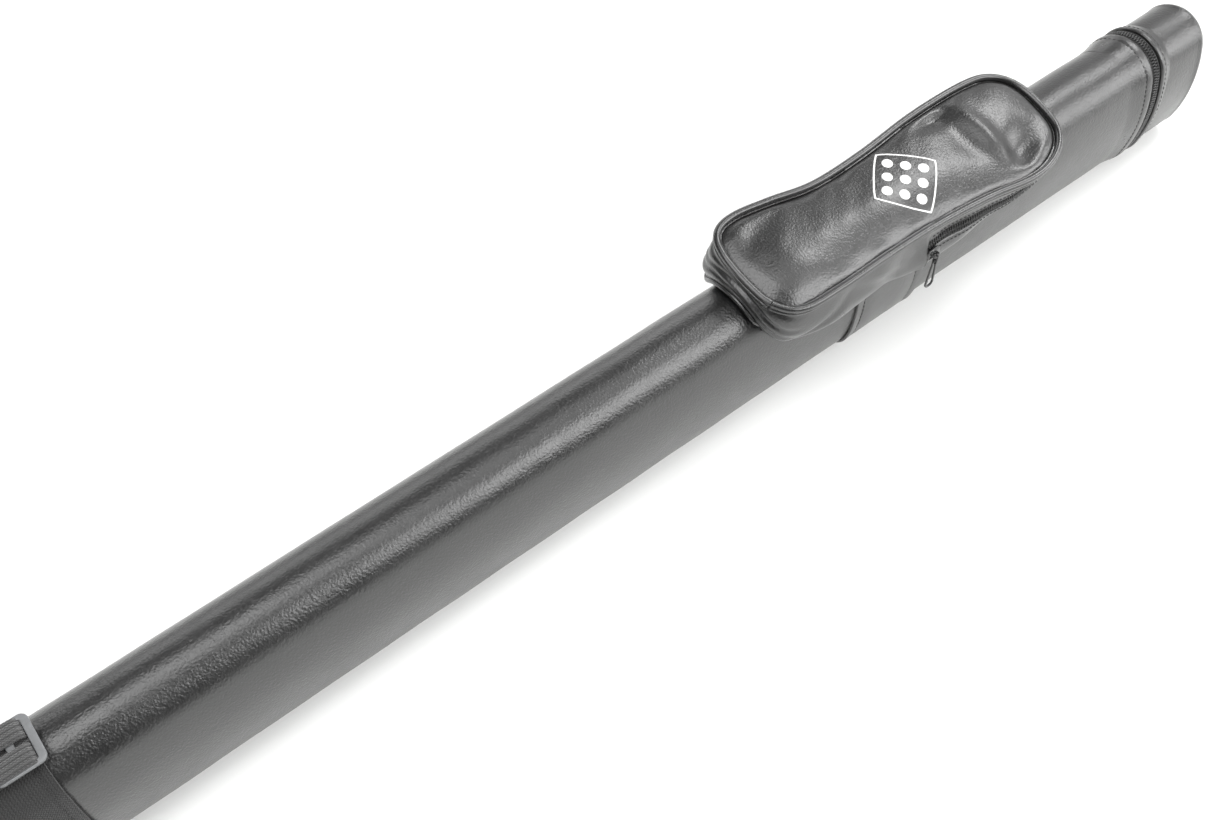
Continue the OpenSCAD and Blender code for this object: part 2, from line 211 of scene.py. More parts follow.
def leather(name, level=0.007, rough=0.32, grain=700.0, depth=0.00021, coat=0.35, warm=0.01):
    """Glossy black leatherette with a soft grain of wavy pebbles."""
    m = Nodes(name)
    waves = m.noise(grain, 1.5, 0.5, 1.1)
    inputs = {"Vector": m.coords(), "Scale": grain * 1.25, "Smoothness": 0.9}
    cells = m.add("ShaderNodeTexVoronoi", inputs, feature="SMOOTH_F1").outputs["Distance"]
    pebbles = m.remap(cells, 0.1, 0.75, 1.0, 0.0)
    fine = m.noise(grain * 4.0, 2.0)
    height = m.math("MULTIPLY_ADD", waves, 0.75, m.math("MULTIPLY", pebbles, 0.45))
    height = m.math("MULTIPLY_ADD", fine, 0.12, height)
    normal = m.bump(m.noise(48.0, 2.0), 0.0011, 0.3)
    m.feed("Normal", m.bump(height, depth, 1.0, normal))
    patches = m.noise(60.0, 3.0)
    m.feed("Roughness", m.remap(patches, 0.3, 0.7, rough - 0.03, rough + 0.04))
    # Painted shade and painted highlight: the base colour is a little darker in the hollows between the
    # pebbles and lighter on their tops.
    m.feed("Base Color", m.mix(pebbles, grey(level * 0.8, warm), grey(level * 1.15, warm)))
    m.feed("Specular IOR Level", 0.9)
    m.feed("Coat Weight", coat)
    m.feed("Coat Roughness", 0.3)
    m.feed("Coat IOR", 1.5)
    return m.data


def woven(name, level, along, across, rib=0.0, sheen=0.15, rough=0.75, depth=0.00025):
    """Webbing or tape: over-and-under threads from its lengths in metres, with optional lengthwise ribs."""
    m = Nodes(name)
    split = m.add("ShaderNodeSeparateXYZ", {"Vector": m.coords("UV")})
    jitter = m.noise(900.0, 2.0)
    u = m.math("MULTIPLY_ADD", split.outputs[0], TAU / along, m.math("MULTIPLY", jitter, 1.2))
    v = m.math("MULTIPLY_ADD", split.outputs[1], TAU / across, m.math("MULTIPLY", jitter, 0.8))
    warp = m.math("MULTIPLY", m.math("SINE", u), m.math("SINE", v))
    threads = m.math("ABSOLUTE", m.math("SINE", m.math("MULTIPLY", v, 0.5)))
    height = m.math("MULTIPLY_ADD", warp, 0.35, m.math("MULTIPLY", threads, 0.5))
    if rib:
        ridges = m.math("ABSOLUTE", m.math("SINE", m.math("MULTIPLY", split.outputs[1], math.pi / rib)))
        height = m.math("MULTIPLY_ADD", ridges, 1.6, height)
    fuzz = m.noise(5200.0, 2.0)
    normal = m.bump(m.math("MULTIPLY_ADD", fuzz, 0.5, height), depth)
    m.feed("Normal", normal)
    # Painted shade and painted highlight: the base colour is darker in the hollows between the threads and
    # lighter on their crowns, following the bump's height.
    light = m.remap(height, -0.2, 2.0 if rib else 0.8, 0.0, 1.0)
    m.feed("Base Color", m.mix(light, grey(level * 0.35), grey(level * 1.5)))
    m.feed("Roughness", m.remap(fuzz, 0.3, 0.7, rough - 0.08, min(1.0, rough + 0.08)))
    m.feed("Sheen Weight", sheen)
    m.feed("Sheen Roughness", 0.5)
    return m.data


def plastic(name, colour, rough, depth=0.00006, scale=1500.0):
    """Moulded plastic with a faint matt texture and handling marks."""
    m = Nodes(name)
    grains = m.noise(scale, 3.0)
    marks = m.noise(260.0, 4.0, 0.6)
    m.feed("Normal", m.bump(grains, depth))
    m.feed("Roughness", m.remap(marks, 0.3, 0.7, rough - 0.07, rough + 0.09))
    darker = tuple(c * 0.8 for c in colour[:3]) + (1.0,)
    m.feed("Base Color", m.mix(m.remap(marks, 0.35, 0.65, 0.0, 1.0), darker, colour))
    return m.data


def metal(name, colour, rough, paint=0.0):
    """Cast zip metal: plated, or painted black and worn to the metal in specks."""
    m = Nodes(name)
    cloud = m.noise(800.0, 4.0, 0.6)
    m.feed("Normal", m.bump(m.noise(2400.0, 2.0), 0.00003))
    m.feed("Roughness", m.remap(cloud, 0.3, 0.7, rough - 0.06, rough + 0.1))
    if paint:
        worn = m.remap(cloud, 0.63, 0.7, 0.0, 1.0)
        m.feed("Base Color", m.mix(worn, colour, grey(0.3)))
        m.feed("Metallic", m.math("MULTIPLY", worn, 0.8))
        m.feed("Coat Weight", 0.4)
        m.feed("Coat Roughness", 0.2)
    else:
        darker = tuple(c * 0.75 for c in colour[:3]) + (1.0,)
        m.feed("Base Color", m.mix(cloud, darker, colour))
        m.feed("Metallic", 1.0)
    return m.data


def velour(name, colour):
    """Short-pile lining cloth."""
    m = Nodes(name)
    pile = m.noise(3800.0, 3.0, 0.7)
    brushed = m.noise(90.0, 3.0)
    m.feed("Normal", m.bump(pile, 0.0003))
    darker = tuple(c * 0.45 for c in colour[:3]) + (1.0,)
    light = m.math("MULTIPLY_ADD", brushed, 0.6, m.math("MULTIPLY", pile, 0.4))
    m.feed("Base Color", m.mix(light, darker, colour))
    m.feed("Roughness", m.remap(pile, 0.3, 0.7, 0.85, 1.0))
    m.feed("Sheen Weight", 0.6)
    m.feed("Sheen Roughness", 0.4)
    m.feed("Specular IOR Level", 0.2)
    return m.data


def fibreboard(name):
    m = Nodes(name)
    fibres = m.noise(1300.0, 5.0, 0.7, 1.5)
    m.feed("Normal", m.bump(fibres, 0.0002))
    m.feed("Base Color", m.mix(fibres, (0.16, 0.13, 0.1, 1.0), (0.34, 0.29, 0.23, 1.0)))
    m.feed("Roughness", m.remap(fibres, 0.3, 0.7, 0.8, 0.95))
    return m.data


def softwood(name):
    m = Nodes(name)
    inputs = {"Vector": m.coords(), "Scale": 260.0, "Distortion": 3.0, "Detail": 3.0}
    rings = m.add("ShaderNodeTexWave", inputs, wave_type="RINGS", rings_direction="X").outputs["Fac"]
    m.feed("Normal", m.bump(rings, 0.0001))
    m.feed("Base Color", m.mix(rings, (0.42, 0.27, 0.14, 1.0), (0.62, 0.45, 0.27, 1.0)))
    m.feed("Roughness", m.remap(rings, 0.0, 1.0, 0.6, 0.75))
    return m.data


def ink(name):
    """White print that follows the grain and is thin in places."""
    m = Nodes(name)
    inputs = {"Vector": m.coords(), "Scale": 760.0}
    cells = m.add("ShaderNodeTexVoronoi", inputs, feature="DISTANCE_TO_EDGE").outputs[0]
    thin = m.math("MULTIPLY", m.remap(cells, 0.0, 0.06, 1.0, 0.0), 0.25)
    m.feed("Base Color", m.mix(thin, (0.86, 0.86, 0.85, 1.0), (0.3, 0.3, 0.3, 1.0)))
    m.feed("Normal", m.bump(m.remap(cells, 0.0, 0.3, 0.0, 1.0), 0.00006))
    m.feed("Roughness", m.remap(cells, 0.0, 0.3, 0.5, 0.38))
    return m.data


LEATHER = (leather("leatherette"), "leatherette")
SOFT_LEATHER = (leather("leatherette_soft", grain=760.0, depth=0.00018, rough=0.3, coat=0.4), "leatherette")
PIPING = (leather("piping_leatherette", level=0.006, rough=0.28, grain=1500.0, depth=0.00006), "piping")
THREAD = (plastic("black_thread", grey(0.02), 0.5, 0.0001, 4000.0), "leatherette")
BOARD = (fibreboard("board"), "board")
WOOD = (softwood("plug_wood"), "plug_wood")
LINING = (velour("maroon_lining", (0.16, 0.012, 0.02, 1.0)), "lining")
MOULDED = (plastic("moulded_black", grey(0.02), 0.42), "moulded")
TAPE = (woven("zip_tape", 0.007, 1.1 * MM, 0.9 * MM, rough=0.85, depth=0.00012), "zip_tape")
COIL = (plastic("zip_coil", grey(0.03), 0.26, 0.00003, 2600.0), "zip_coil")
BLACK_METAL = (metal("painted_slider", grey(0.025), 0.27, paint=1.0), "slider_black")
STEEL = (metal("plated_metal", (0.42, 0.42, 0.43, 1.0), 0.3), "zip_metal")
INK = (ink("white_print"), "print")
NYLON = (woven("nylon_band", 0.016, 1.5 * MM, 1.3 * MM, depth=0.0003), "nylon")
RIBBED = woven("ribbed_webbing", 0.045, 1.6 * MM, 1.2 * MM, rib=2.5 * MM, sheen=0.3, rough=0.6, depth=0.0004)
WEBBING = (RIBBED, "webbing")
POCKET_CLOTH = (woven("pocket_cloth", 0.02, 0.8 * MM, 0.8 * MM, rough=0.9, depth=0.00008), "lining")
BUCKLE = (plastic("grey_plastic", (0.2, 0.205, 0.21, 1.0), 0.42), "buckle")

# ---------------------------------------------------------------- mesh making


class Soup:
    """Gathers many small closed shapes into one mesh."""

    def __init__(self):
        self.points, self.faces, self.lengths, self.count = [], [], [], 0

    def add(self, points, faces, lengths=None):
        points = np.asarray(points, float).reshape(-1, 3)
        self.points.append(points)
        self.faces += [[i + self.count for i in face] for face in faces]
        self.lengths.append(np.zeros((len(points), 2)) if lengths is None else np.reshape(lengths, (-1, 2)))
        self.count += len(points)
        return self


def linked(name, data):
    """A new object in the scene."""
    new = bpy.data.objects.new(name, data)
    bpy.context.scene.collection.objects.link(new)
    return new


def make(name, shape, look, body="case", nodes=(), bend=None):
    """Makes a piece from one shape or a soup, with its body and the nodes that it stands for."""
    soup = shape if isinstance(shape, Soup) else Soup().add(*shape)
    mesh = bpy.data.meshes.new(name)
    points = np.concatenate(soup.points)
    points[:, 2] = np.maximum(points[:, 2], 0)
    mesh.from_pydata(points.tolist(), [], soup.faces)
    layer = mesh.uv_layers.new(name="lengths")
    lengths = np.concatenate(soup.lengths).astype(np.float32)
    corners = np.zeros(len(mesh.loops), np.int32)
    mesh.loops.foreach_get("vertex_index", corners)
    layer.data.foreach_set("uv", lengths[corners].ravel())
    built = bmesh.new()
    built.from_mesh(mesh)
    bmesh.ops.recalc_face_normals(built, faces=built.faces)
    built.to_mesh(mesh)
    built.free()
    mesh.polygons.foreach_set("use_smooth", [True] * len(mesh.polygons))
    mesh.materials.append(look[0])
    piece = linked(name, mesh)
    mesh.set_sharp_from_angle(angle=math.radians(50))
    if bend is None:
        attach(piece, body)
    else:
        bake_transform(piece)
    if nodes:
        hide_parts(*nodes)


def grid(points, wrap_u=False, wrap_v=False, caps=False):
    """A soup from a grid of points, closed round v, and round u or capped at its ends."""
    nu, nv = points.shape[:2]
    rows, columns = np.arange(nu if wrap_u else nu - 1), np.arange(nv if wrap_v else nv - 1)
    a, b = np.meshgrid(rows, columns, indexing="ij")
    a1, b1 = (a + 1) % nu, (b + 1) % nv
    faces = np.stack([a * nv + b, a1 * nv + b, a1 * nv + b1, a * nv + b1], -1).reshape(-1, 4).tolist()
    if caps:
        faces += [list(range(nv)), list(range((nu - 1) * nv, nu * nv))]
    along = np.linalg.norm(np.diff(points, axis=0), axis=2).mean(1)
    across = np.linalg.norm(np.diff(points, axis=1), axis=2).mean(0)
    lengths = np.meshgrid(running(along), running(across), indexing="ij")
    return points, faces, np.stack(lengths, -1)


def round_path(count):
    """Shares of the girth, evenly spaced, without the last one, which is the first."""
    return np.linspace(0.0, 1.0, count, endpoint=False)


def wrap(profile, count=220, wobble=0.0, seed=1):
    """Carries a closed profile of (x, distance from the skin) round the oval."""
    profile = np.array(profile, float)
    s = round_path(count)
    points = on_oval(profile[None, :, 0], s[:, None], profile[None, :, 1])
    if wobble:
        lift = ripple(points, 38 * MM, seed) * wobble
        high = ramp(points[..., 2], FLAT_FOOT + 2 * MM, FLAT_FOOT + 8 * MM)
        points = points + outward(s)[:, None, :] * (lift * high)[..., None]
    return grid(points, wrap_u=True, wrap_v=True)


def sweep(path, across, normal, profile, closed=False):
    """Carries a closed profile of (across, up) along a path with its own frame at each point."""
    profile = np.array(profile, float)
    points = path[:, None] + across[:, None] * profile[None, :, :1] + normal[:, None] * profile[None, :, 1:]
    return grid(points, wrap_u=closed, wrap_v=True, caps=not closed)


def rounded(width, height, corner, steps=4, centre=(0.0, 0.0)):
    """A rectangle's outline with round corners, as points (across, up)."""
    corner = min(corner, width / 2, height / 2) * 0.999
    points = []
    for k, (sx, sy) in enumerate([(1, 1), (-1, 1), (-1, -1), (1, -1)]):
        for i in range(steps + 1):
            a = math.radians(90) * (k + i / steps)
            points.append((
                centre[0] + sx * (width / 2 - corner) + corner * math.cos(a),
                centre[1] + sy * (height / 2 - corner) + corner * math.sin(a),
            ))
    return points


def circle(radius, sides=10):
    return [(radius * math.cos(TAU * i / sides), radius * math.sin(TAU * i / sides)) for i in range(sides)]


def tangents(path, closed=False):
    if closed:
        t = np.roll(path, -1, 0) - np.roll(path, 1, 0)
    else:
        t = np.gradient(path, axis=0)
    return unit(t)


def unit(v):
    v = np.asarray(v, float)
    return v / np.linalg.norm(v, axis=-1, keepdims=True)


def tube(path, normal, radius, sides=12, closed=False):
    """A round cord along a path."""
    across = unit(np.cross(tangents(path, closed), normal))
    return sweep(path, across, unit(np.cross(across, tangents(path, closed))), circle(radius, sides), closed)


def spread_along(path, pitch, closed=False):
    """Places along a path at about this pitch, as shares of its index range."""
    line = np.concatenate([path, path[:1]]) if closed else path
    run = running(np.linalg.norm(np.diff(line, axis=0), axis=1))
    count = max(2, int(run[-1] / pitch))
    where = (np.arange(count) + 0.5) * run[-1] / count
    return np.interp(where, run, np.arange(len(line)))


def pick(values, index):
    """Values between the rows of an array."""
    low = np.floor(index).astype(int)
    share = (index - low)[:, None]
    return values[low % len(values)] * (1 - share) + values[(low + 1) % len(values)] * share


PILL = np.array([-1.0, -0.88, -0.6, -0.2, 0.2, 0.6, 0.88, 1.0])


def pills(centre, axis, up, half, wide, high, arch=0.0, sides=8):
    """Rounded bars: axis is their length's direction; arch lowers their ends."""
    side = unit(np.cross(up, axis))
    fat = np.sqrt(np.clip(1 - np.abs(PILL) ** 5, 0.06, 1))
    angle = TAU * np.arange(sides) / sides
    ring_side, ring_up = np.cos(angle) * wide, np.sin(angle) * high
    n = len(centre)
    spine = centre[:, None] + axis[:, None] * (PILL * half)[None, :, None]
    spine = spine - up[:, None] * (arch * PILL**2)[None, :, None]
    points = (
        spine[:, :, None]
        + side[:, None, None] * (fat[:, None] * ring_side)[None, :, :, None]
        + up[:, None, None] * (fat[:, None] * ring_up)[None, :, :, None]
    )
    rings = len(PILL)
    _, faces, _ = grid(points[0], wrap_v=True, caps=True)
    each = rings * sides
    faces = [[i + each * k for i in face] for k in range(n) for face in faces]
    return points.reshape(-1, 3), faces


def stitches(path, normal, pitch=3.1 * MM, thread=0.3 * MM, closed=False, lift=0.12 * MM):
    """A row of stitches whose ends dive into the cloth."""
    index = spread_along(path, pitch, closed)
    up = unit(pick(normal, index))
    axis = unit(pick(tangents(path, closed), index))
    centre = pick(path, index) + up * lift
    return pills(centre, axis, up, pitch * 0.39, thread, thread * 0.85, arch=0.3 * MM, sides=6)


def zip_teeth(path, across, normal, side, rise, width=2.7 * MM, pitch=1.65 * MM):
    """One side's coil: rounded bars that reach past the middle, between the other side's."""
    index = spread_along(path, pitch)
    if side < 0:
        index = index[:-1] + np.diff(index) / 2
    up, over = unit(pick(normal, index)), unit(pick(across, index)) * side
    centre = pick(path, index) + over * (width / 2 - 0.35 * MM) + up * rise
    return pills(centre, over, up, width / 2 + 0.25 * MM, 0.52 * MM, 0.66 * MM, arch=0.25 * MM, sides=8)


def zip_side(name, path, across, normal, side, body, nodes_tape, nodes_coil, floor, bend=None, reach=6 * MM):
    """One half of a zip: a woven tape with its stitched cord, and the coil on it."""
    over = across * side
    tape = sweep(path, over, normal, rounded(reach, 0.5 * MM, 0.2 * MM, 2, (reach / 2 + 0.15 * MM, floor)))
    make(name + "_tape", tape, TAPE, body, nodes_tape, bend)
    coil = Soup().add(*zip_teeth(path, across, normal, side, floor + 0.75 * MM))
    edge = path + over * 2.85 * MM + normal * (floor + 0.35 * MM)
    coil.add(*tube(edge, normal, 0.34 * MM, 6))
    coil.add(*stitches(edge, normal, 1.9 * MM, 0.2 * MM, lift=0.3 * MM))
    make(name + "_coil", coil, COIL, body, nodes_coil, bend)


# ---------------------------------------------------------------- tube and its closed end


def shell_profile(x0, x1, top, bottom, step, corner=0.3 * MM):
    """A long thin rectangle's outline with close points on its outer side."""
    outer = [(x, top) for x in np.arange(x0 + corner, x1 - corner, step)] + [(x1 - corner, top)]
    ends = [(x1, top - corner), (x1, bottom), ((x0 + x1) / 2, bottom), (x0, bottom), (x0, top - corner)]
    return outer + ends


def tube_parts():
    outline = shell_profile(SKIN_LOW.x, SKIN_HIGH.x, 0, -0.9 * MM, 2.6 * MM)
    cover = wrap(outline, 200, wobble=0.16 * MM, seed=3)
    make("tube_skin", cover, LEATHER, nodes=["tube_cover"])
    low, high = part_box("tube_shell")
    tube_wall = wrap(shell_profile(low.x, high.x, -1.1 * MM, -2.6 * MM, 20 * MM, 0.2 * MM), 160)
    make("board_tube", tube_wall, BOARD, nodes=["tube_shell"])
    low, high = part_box("mouth_rim")
    rim = from_edge(low.x, 1, [(0, -2.75)])
    rim += from_edge(high.x, -1, [(0.6, -2.75), (0, -3.2), (0.2, -3.9), (0.9, -4.1)])
    rim += from_edge(low.x, 1, [(0, -4.1)])
    make("moulded_rim", wrap(rim, 160), MOULDED, nodes=["mouth_rim"])


def domed_plate(x_edge, x_face, off, corner, sign, dome=0.0, inset=0.0, rows=14, count=200):
    """A closed oval plate with a round outer edge, from its edge plane x_edge to its face x_face."""
    s = round_path(count)
    rings = [on_oval(x_edge, s, off)]
    for i in range(7):
        a = math.radians(90) * i / 6
        back, inward = corner * (1 - math.sin(a)), corner * (1 - math.cos(a))
        rings.append(on_oval(x_face - sign * back, s, off - inward))
    rim, middle = rings[-1], np.array([x_face, 0, OVAL_Z])
    for i in range(1, rows):
        share = i / rows
        ring = rim * (1 - share) + middle * share
        lift = dome * (1 - (1 - share) ** 2) - inset * bump(share, 0.06, 0.03)
        rings.append(ring + np.array([sign, 0, 0]) * lift)
    tip = middle + np.array([sign * dome, 0, 0])
    rings.append(np.repeat(tip[None], count, 0) * 0.98 + rings[-1] * 0.02)
    return grid(np.array(rings), wrap_v=True, caps=True)


def from_edge(x, way, steps):
    """Profile points from (mm inwards from an edge, mm off the skin)."""
    return [(x + way * a * MM, off * MM) for a, off in steps]


def round_stitches(name, rows, off, body="case", count=320, pitch=3.1 * MM, thread=0.3 * MM):
    """Stitches right round the case, at each x in rows."""
    s = round_path(count)
    soup = Soup()
    for x in rows:
        soup.add(*stitches(on_oval(x, s, off), outward(s), pitch, thread, closed=True))
    make(name, soup, THREAD, body)


def closed_end():
    x0 = X_CLOSED
    disc = domed_plate(x0 + 1.2 * MM, x0 + 0.25 * MM, -0.1 * MM, 0.6 * MM, -1, 0.2 * MM)
    make("end_disc", disc, LEATHER, nodes=["closed_end_panel"])
    x1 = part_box("closed_end_binding")[1].x
    folded = [(0, 0.2), (0.05, 1.0), (0.6, 1.5), (1.6, 1.6), (5.2, 1.25), (5.8, 0.95), (6.4, 1.25)]
    binding = from_edge(x0, 1, folded)
    binding += from_edge(x1, -1, [(1.2, 1.5), (0.3, 1.25), (0, 0.6), (0, 0.12)])
    shape = wrap(binding, 240, wobble=0.08 * MM, seed=5)
    make("end_binding", shape, SOFT_LEATHER, nodes=["closed_end_binding"])
    round_stitches("end_stitches", [x0 + 5.8 * MM], 1.0 * MM, count=300)


def refined(node, name, look, width, body):
    """A detailed copy of a hidden CAD node with every edge rounded."""
    piece = linked(name, frame["nodes"][node].data.copy())
    built = bmesh.new()
    built.from_mesh(piece.data)
    bmesh.ops.remove_doubles(built, verts=built.verts, dist=1e-6)
    bmesh.ops.dissolve_limit(built, angle_limit=math.radians(1.0), verts=built.verts, edges=built.edges)
    built.to_mesh(piece.data)
    built.free()
    piece.data.materials.clear()
    piece.data.materials.append(look[0])
    round_off = piece.modifiers.new("rounding", "BEVEL")
    round_off.width, round_off.segments = width, 3
    round_off.limit_method, round_off.angle_limit = "ANGLE", math.radians(40)
    piece.data.polygons.foreach_set("use_smooth", [True] * len(piece.data.polygons))
    piece.data.set_sharp_from_angle(angle=math.radians(60))
    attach(piece, body)
    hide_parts(node)
    return piece


def linings():
    refined("closed_end_plug", "wooden_plug", WOOD, 0.5 * MM, "case")
    refined("channel_insert", "lined_channels", LINING, 1.1 * MM, "case")
    refined("closed_end_pad", "end_pad", LINING, 0.8 * MM, "case")
    refined("cap_liner", "cap_lining", LINING, 0.4 * MM, "cap")
    refined("cap_pad", "cap_cushion", LINING, 1.0 * MM, "cap")
    refined("cap_shell", "cap_board", BOARD, 0.3 * MM, "cap")


# ---------------------------------------------------------------- cap and its zip

HEM_NEAR = 4.2 * MM  # from the zip's middle to the fold


def hem_profile(side, stitch, far):
    """Folded leatherette beside the zip: a round fold, a stitched groove, and a long slope to the skin."""
    fold = [(0, 0.75), (-0.1, 1.4), (0.25, 1.95), (0.8, 2.2), (1.8, 2.25)]
    groove = [(-1.4, 2.05), (-0.5, 1.85), (0, 1.55), (0.45, 1.6)]
    steps = [(HEM_NEAR + a * MM, off) for a, off in fold] + [(stitch + a * MM, off) for a, off in groove]
    steps += [(stitch + 0.45 * MM + t * (far - stitch), 1.6 * (1 - t) ** 2 * (1 + 0.9 * t) - 0.1 * t * t)
              for t in np.linspace(0.08, 0.94, 9)]
    steps += [(far, -0.15), (far, -0.4), (stitch, 0.5)]
    return [(X_ZIP + side * a, off * MM) for a, off in steps]


def hem(side, name, body, nodes, seed, stitch, far):
    fold = wrap(hem_profile(side, stitch, far), 260, wobble=0.12 * MM, seed=seed)
    make(name, fold, SOFT_LEATHER, body, nodes)
    round_stitches(name + "_stitches", [X_ZIP + side * stitch], 1.6 * MM, body, thread=0.26 * MM)


def cap_zip():
    s = np.linspace(share_at(6 * MM), share_at(6 * MM, far=True), 360)
    path, normal = on_oval(X_ZIP, s, 0.0), outward(s)
    across = np.tile([1.0, 0, 0], (len(s), 1))
    ends = ((-1, "case", "body"), (1, "cap", "cap"))
    for side, body, end in ends:
        zip_side("zip_" + end, path, across, normal, side, body, ["zip_tape_" + end], ["zip_coil_" + end],
                 0.35 * MM, reach=7 * MM)
    for side, body, end in ends:
        low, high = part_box("zip_stop_" + end)
        centre = np.array([[(low.x + high.x) / 2, low.y + 0.3 * MM, (low.z + high.z) / 2]])
        bar = pills(centre, side * EX[None], EY[None], 1.2 * MM, 1.3 * MM, 0.6 * MM)
        make("stop_" + body, bar, STEEL, body, ["zip_stop_" + end])


def cap_parts():
    zip_x = X_ZIP + 3 * MM
    x_round, corner = X_END - 5 * MM, 5 * MM
    outer = [(x, 0.0) for x in np.linspace(zip_x, x_round - 2 * MM, 14)]
    outer += [(x_round - 0.9 * MM, 0.28 * MM), (x_round, 0.34 * MM), (x_round + 0.7 * MM, 0.05 * MM)]
    outer += [(x_round + corner * math.sin(a) - 0.15 * MM, -corner * (1 - math.cos(a)))
              for a in np.radians(np.linspace(16, 84, 10))]
    inner = [(X_END - 1.3 * MM, -5.0 * MM), (x_round - 1 * MM, -0.9 * MM), (zip_x, -0.9 * MM)]
    make("cap_skin", wrap(outer + inner, 220, wobble=0.14 * MM, seed=11), LEATHER, "cap", ["cap_cover"])
    disc = domed_plate(X_END - 3.6 * MM, X_END - 0.3 * MM, -4.2 * MM, 0.8 * MM, 1, 0.25 * MM, 0.12 * MM)
    make("cap_end_disc", disc, LEATHER, "cap", ["cap_end_panel"])
    hem(-1, "mouth_fold", "case", ["mouth_hem"], 7, 9.4 * MM, 23 * MM)
    hem(1, "cap_fold", "cap", ["cap_hem"], 8, 7.9 * MM, 14 * MM)
    cap_zip()


def cap_hinge():
    """One strip of leatherette across the foot, at the cap's hinge."""
    low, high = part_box("hinge_strip_body")[0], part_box("hinge_strip_cap")[1]
    rows = np.linspace(low.x, high.x, 30)
    path = np.stack([rows, rows * 0, rows * 0 + (low.z + high.z) / 2], -1)
    up, across = np.tile([0, 0, 1.0], (30, 1)), np.tile([0, 1.0, 0], (30, 1))
    strip = sweep(path, across, up, rounded(high.y - low.y, 0.45 * MM, 0.2 * MM, 3))
    reach = 1.5 * MM
    make("hinge_leatherette", strip, SOFT_LEATHER, nodes=["hinge_strip_body", "hinge_strip_cap"],
         bend=("case", "cap", (X_ZIP - reach, 0, 0), (X_ZIP + reach, 0, 0)))


# ---------------------------------------------------------------- bands round the case


def band_profile(x0, x1, thick, fold):
    """A strap's cross-section, with folded and stitched edges that are a little fatter."""
    steps = [(0, 0.15), (-0.05, 0.6), (0.35, 1.0), (1.2, 1.0)]
    steps += [(fold - 0.8, 0.85), (fold, 0.62), (fold + 0.8, 0.8)]
    left = [(x0 + a * MM if a > 0 else x0, max(0.12 * MM, f * thick)) for a, f in steps]
    right = [(x1 - a * MM if a > 0 else x1, max(0.12 * MM, f * thick)) for a, f in reversed(steps)]
    middle = [(x0 + (x1 - x0) * t, 0.86 * thick) for t in np.linspace(0.3, 0.7, 5)]
    return left + middle + right


def band(node, name, stitch_name, look, fold, count, wobble, seed, off, pitch=3.1 * MM):
    """A band round the case with stitches near both edges, fold mm in from them."""
    low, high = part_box(node)
    shape = wrap(band_profile(low.x, high.x, BAND_T, fold), count, wobble=wobble, seed=seed)
    make(name, shape, look, nodes=[node])
    round_stitches(stitch_name, (low.x + fold * MM, high.x - fold * MM), off, pitch=pitch)


def bands():
    band("pocket_belt", "belt", "belt_stitches", SOFT_LEATHER, 5.5, 260, 0.2 * MM, 21, 1.05 * MM)
    band("nylon_band", "woven_band", "band_stitches", NYLON, 4.6, 280, 0.16 * MM, 22, 1.0 * MM, 3.6 * MM)
    make("band_fuzz", frayed_edge([corner.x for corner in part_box("nylon_band")]), NYLON)


def frayed_edge(edges):
    """Short loose threads along the band's cut edges."""
    rng = np.random.default_rng(31)
    soup = Soup()
    for edge, way in zip(edges, (-1, 1)):
        s = (np.arange(420) + rng.uniform(-0.4, 0.4, 420)) / 420
        up = outward(s)
        lean = np.cross(up, [1.0, 0, 0]) * rng.normal(0, 0.5, (420, 1))
        axis = unit(np.array([[way, 0, 0.0]]) + up * rng.uniform(-0.25, 0.35, (420, 1)) + lean)
        centre = on_oval(edge, s, 0.75 * MM) + axis * 0.3 * MM
        centre[:, 2] = np.maximum(centre[:, 2], 0.35 * MM)
        facing = unit(np.cross(axis, np.cross(up, axis)))
        soup.add(*pills(centre, axis, facing, 0.7 * MM, 0.11 * MM, 0.11 * MM, sides=5))
    return soup


# ---------------------------------------------------------------- pocket outlines


def joint(name):
    return next(j for j in frame["joints"] if j["name"] == name)


FLAP_JOINT = joint("pocket_flap_hinge")
FLAP_AXIS = FLAP_JOINT["axis"]
TILT = math.atan2(-FLAP_AXIS[2], -FLAP_AXIS[1])
X_BEND = FLAP_JOINT["pos_m"][0]
SADDLE_Z = OVAL_Z + END_Z
PANEL_W = 38 * MM  # height of the panel's seam above the saddle's origin
WALL_W = 8 * MM  # height of the walls' lower edge
BACK_R = 23.9 * MM
POCKET_HALF = 32 * MM
ZIP_W = 17 * MM
ZIP_END_W = 28 * MM
ZIP_DROP = (POCKET_HALF**2 + ZIP_W**2 - ZIP_END_W**2) / (2 * (ZIP_END_W - ZIP_W))
ZIP_R = ZIP_END_W + ZIP_DROP

# Seam of the panel and seam of the base, anticlockwise from the left end's middle, as (mm from the
# closed end, mm across). Both lists go round in step, so that each wall runs between its two points.
PANEL_SEAM = [(461.5, 0), (462, 19), (467, 29.5), (479, 32.5), (500, 29.5), (526, 24.5), (560, 25),
              (600, 28.5), (636, 28.5), (654, 24.5), (663.5, 13), (665, -5), (661, -21), (648, -31),
              (629, -34), (600, -29.5), (565, -26.5), (530, -26), (496, -26.5), (475, -25), (464.5, -16)]
BASE_SEAM = [(458, 0), (458.5, 15), (463, 25), (475, 30.5), (500, 32), (528, 32), (560, 32),
             (600, 32), (636, 31.5), (656, 26.5), (667, 14), (669.5, -2), (667, -15), (656, -23.5),
             (633, -25.5), (600, -25.5), (565, -25.5), (530, -25.5), (497, -25.5), (474, -24), (461, -16)]
PER = 14  # samples from one outline point to the next
FAR_BEND, ZIP_START = 6.75, 16.05  # places round the outline, in points


def closed_curve(points, per=PER):
    """A smooth closed curve through points."""
    p = np.array(points, float)
    t = (np.arange(per) / per)[:, None]
    out = []
    for i in range(len(p)):
        a, b, c, d = p[i - 1], p[i], p[(i + 1) % len(p)], p[(i + 2) % len(p)]
        out.append(b + 0.5 * t * (c - a + t * (2 * a - 5 * b + 4 * c - d + t * (3 * (b - c) + d - a))))
    return np.concatenate(out)


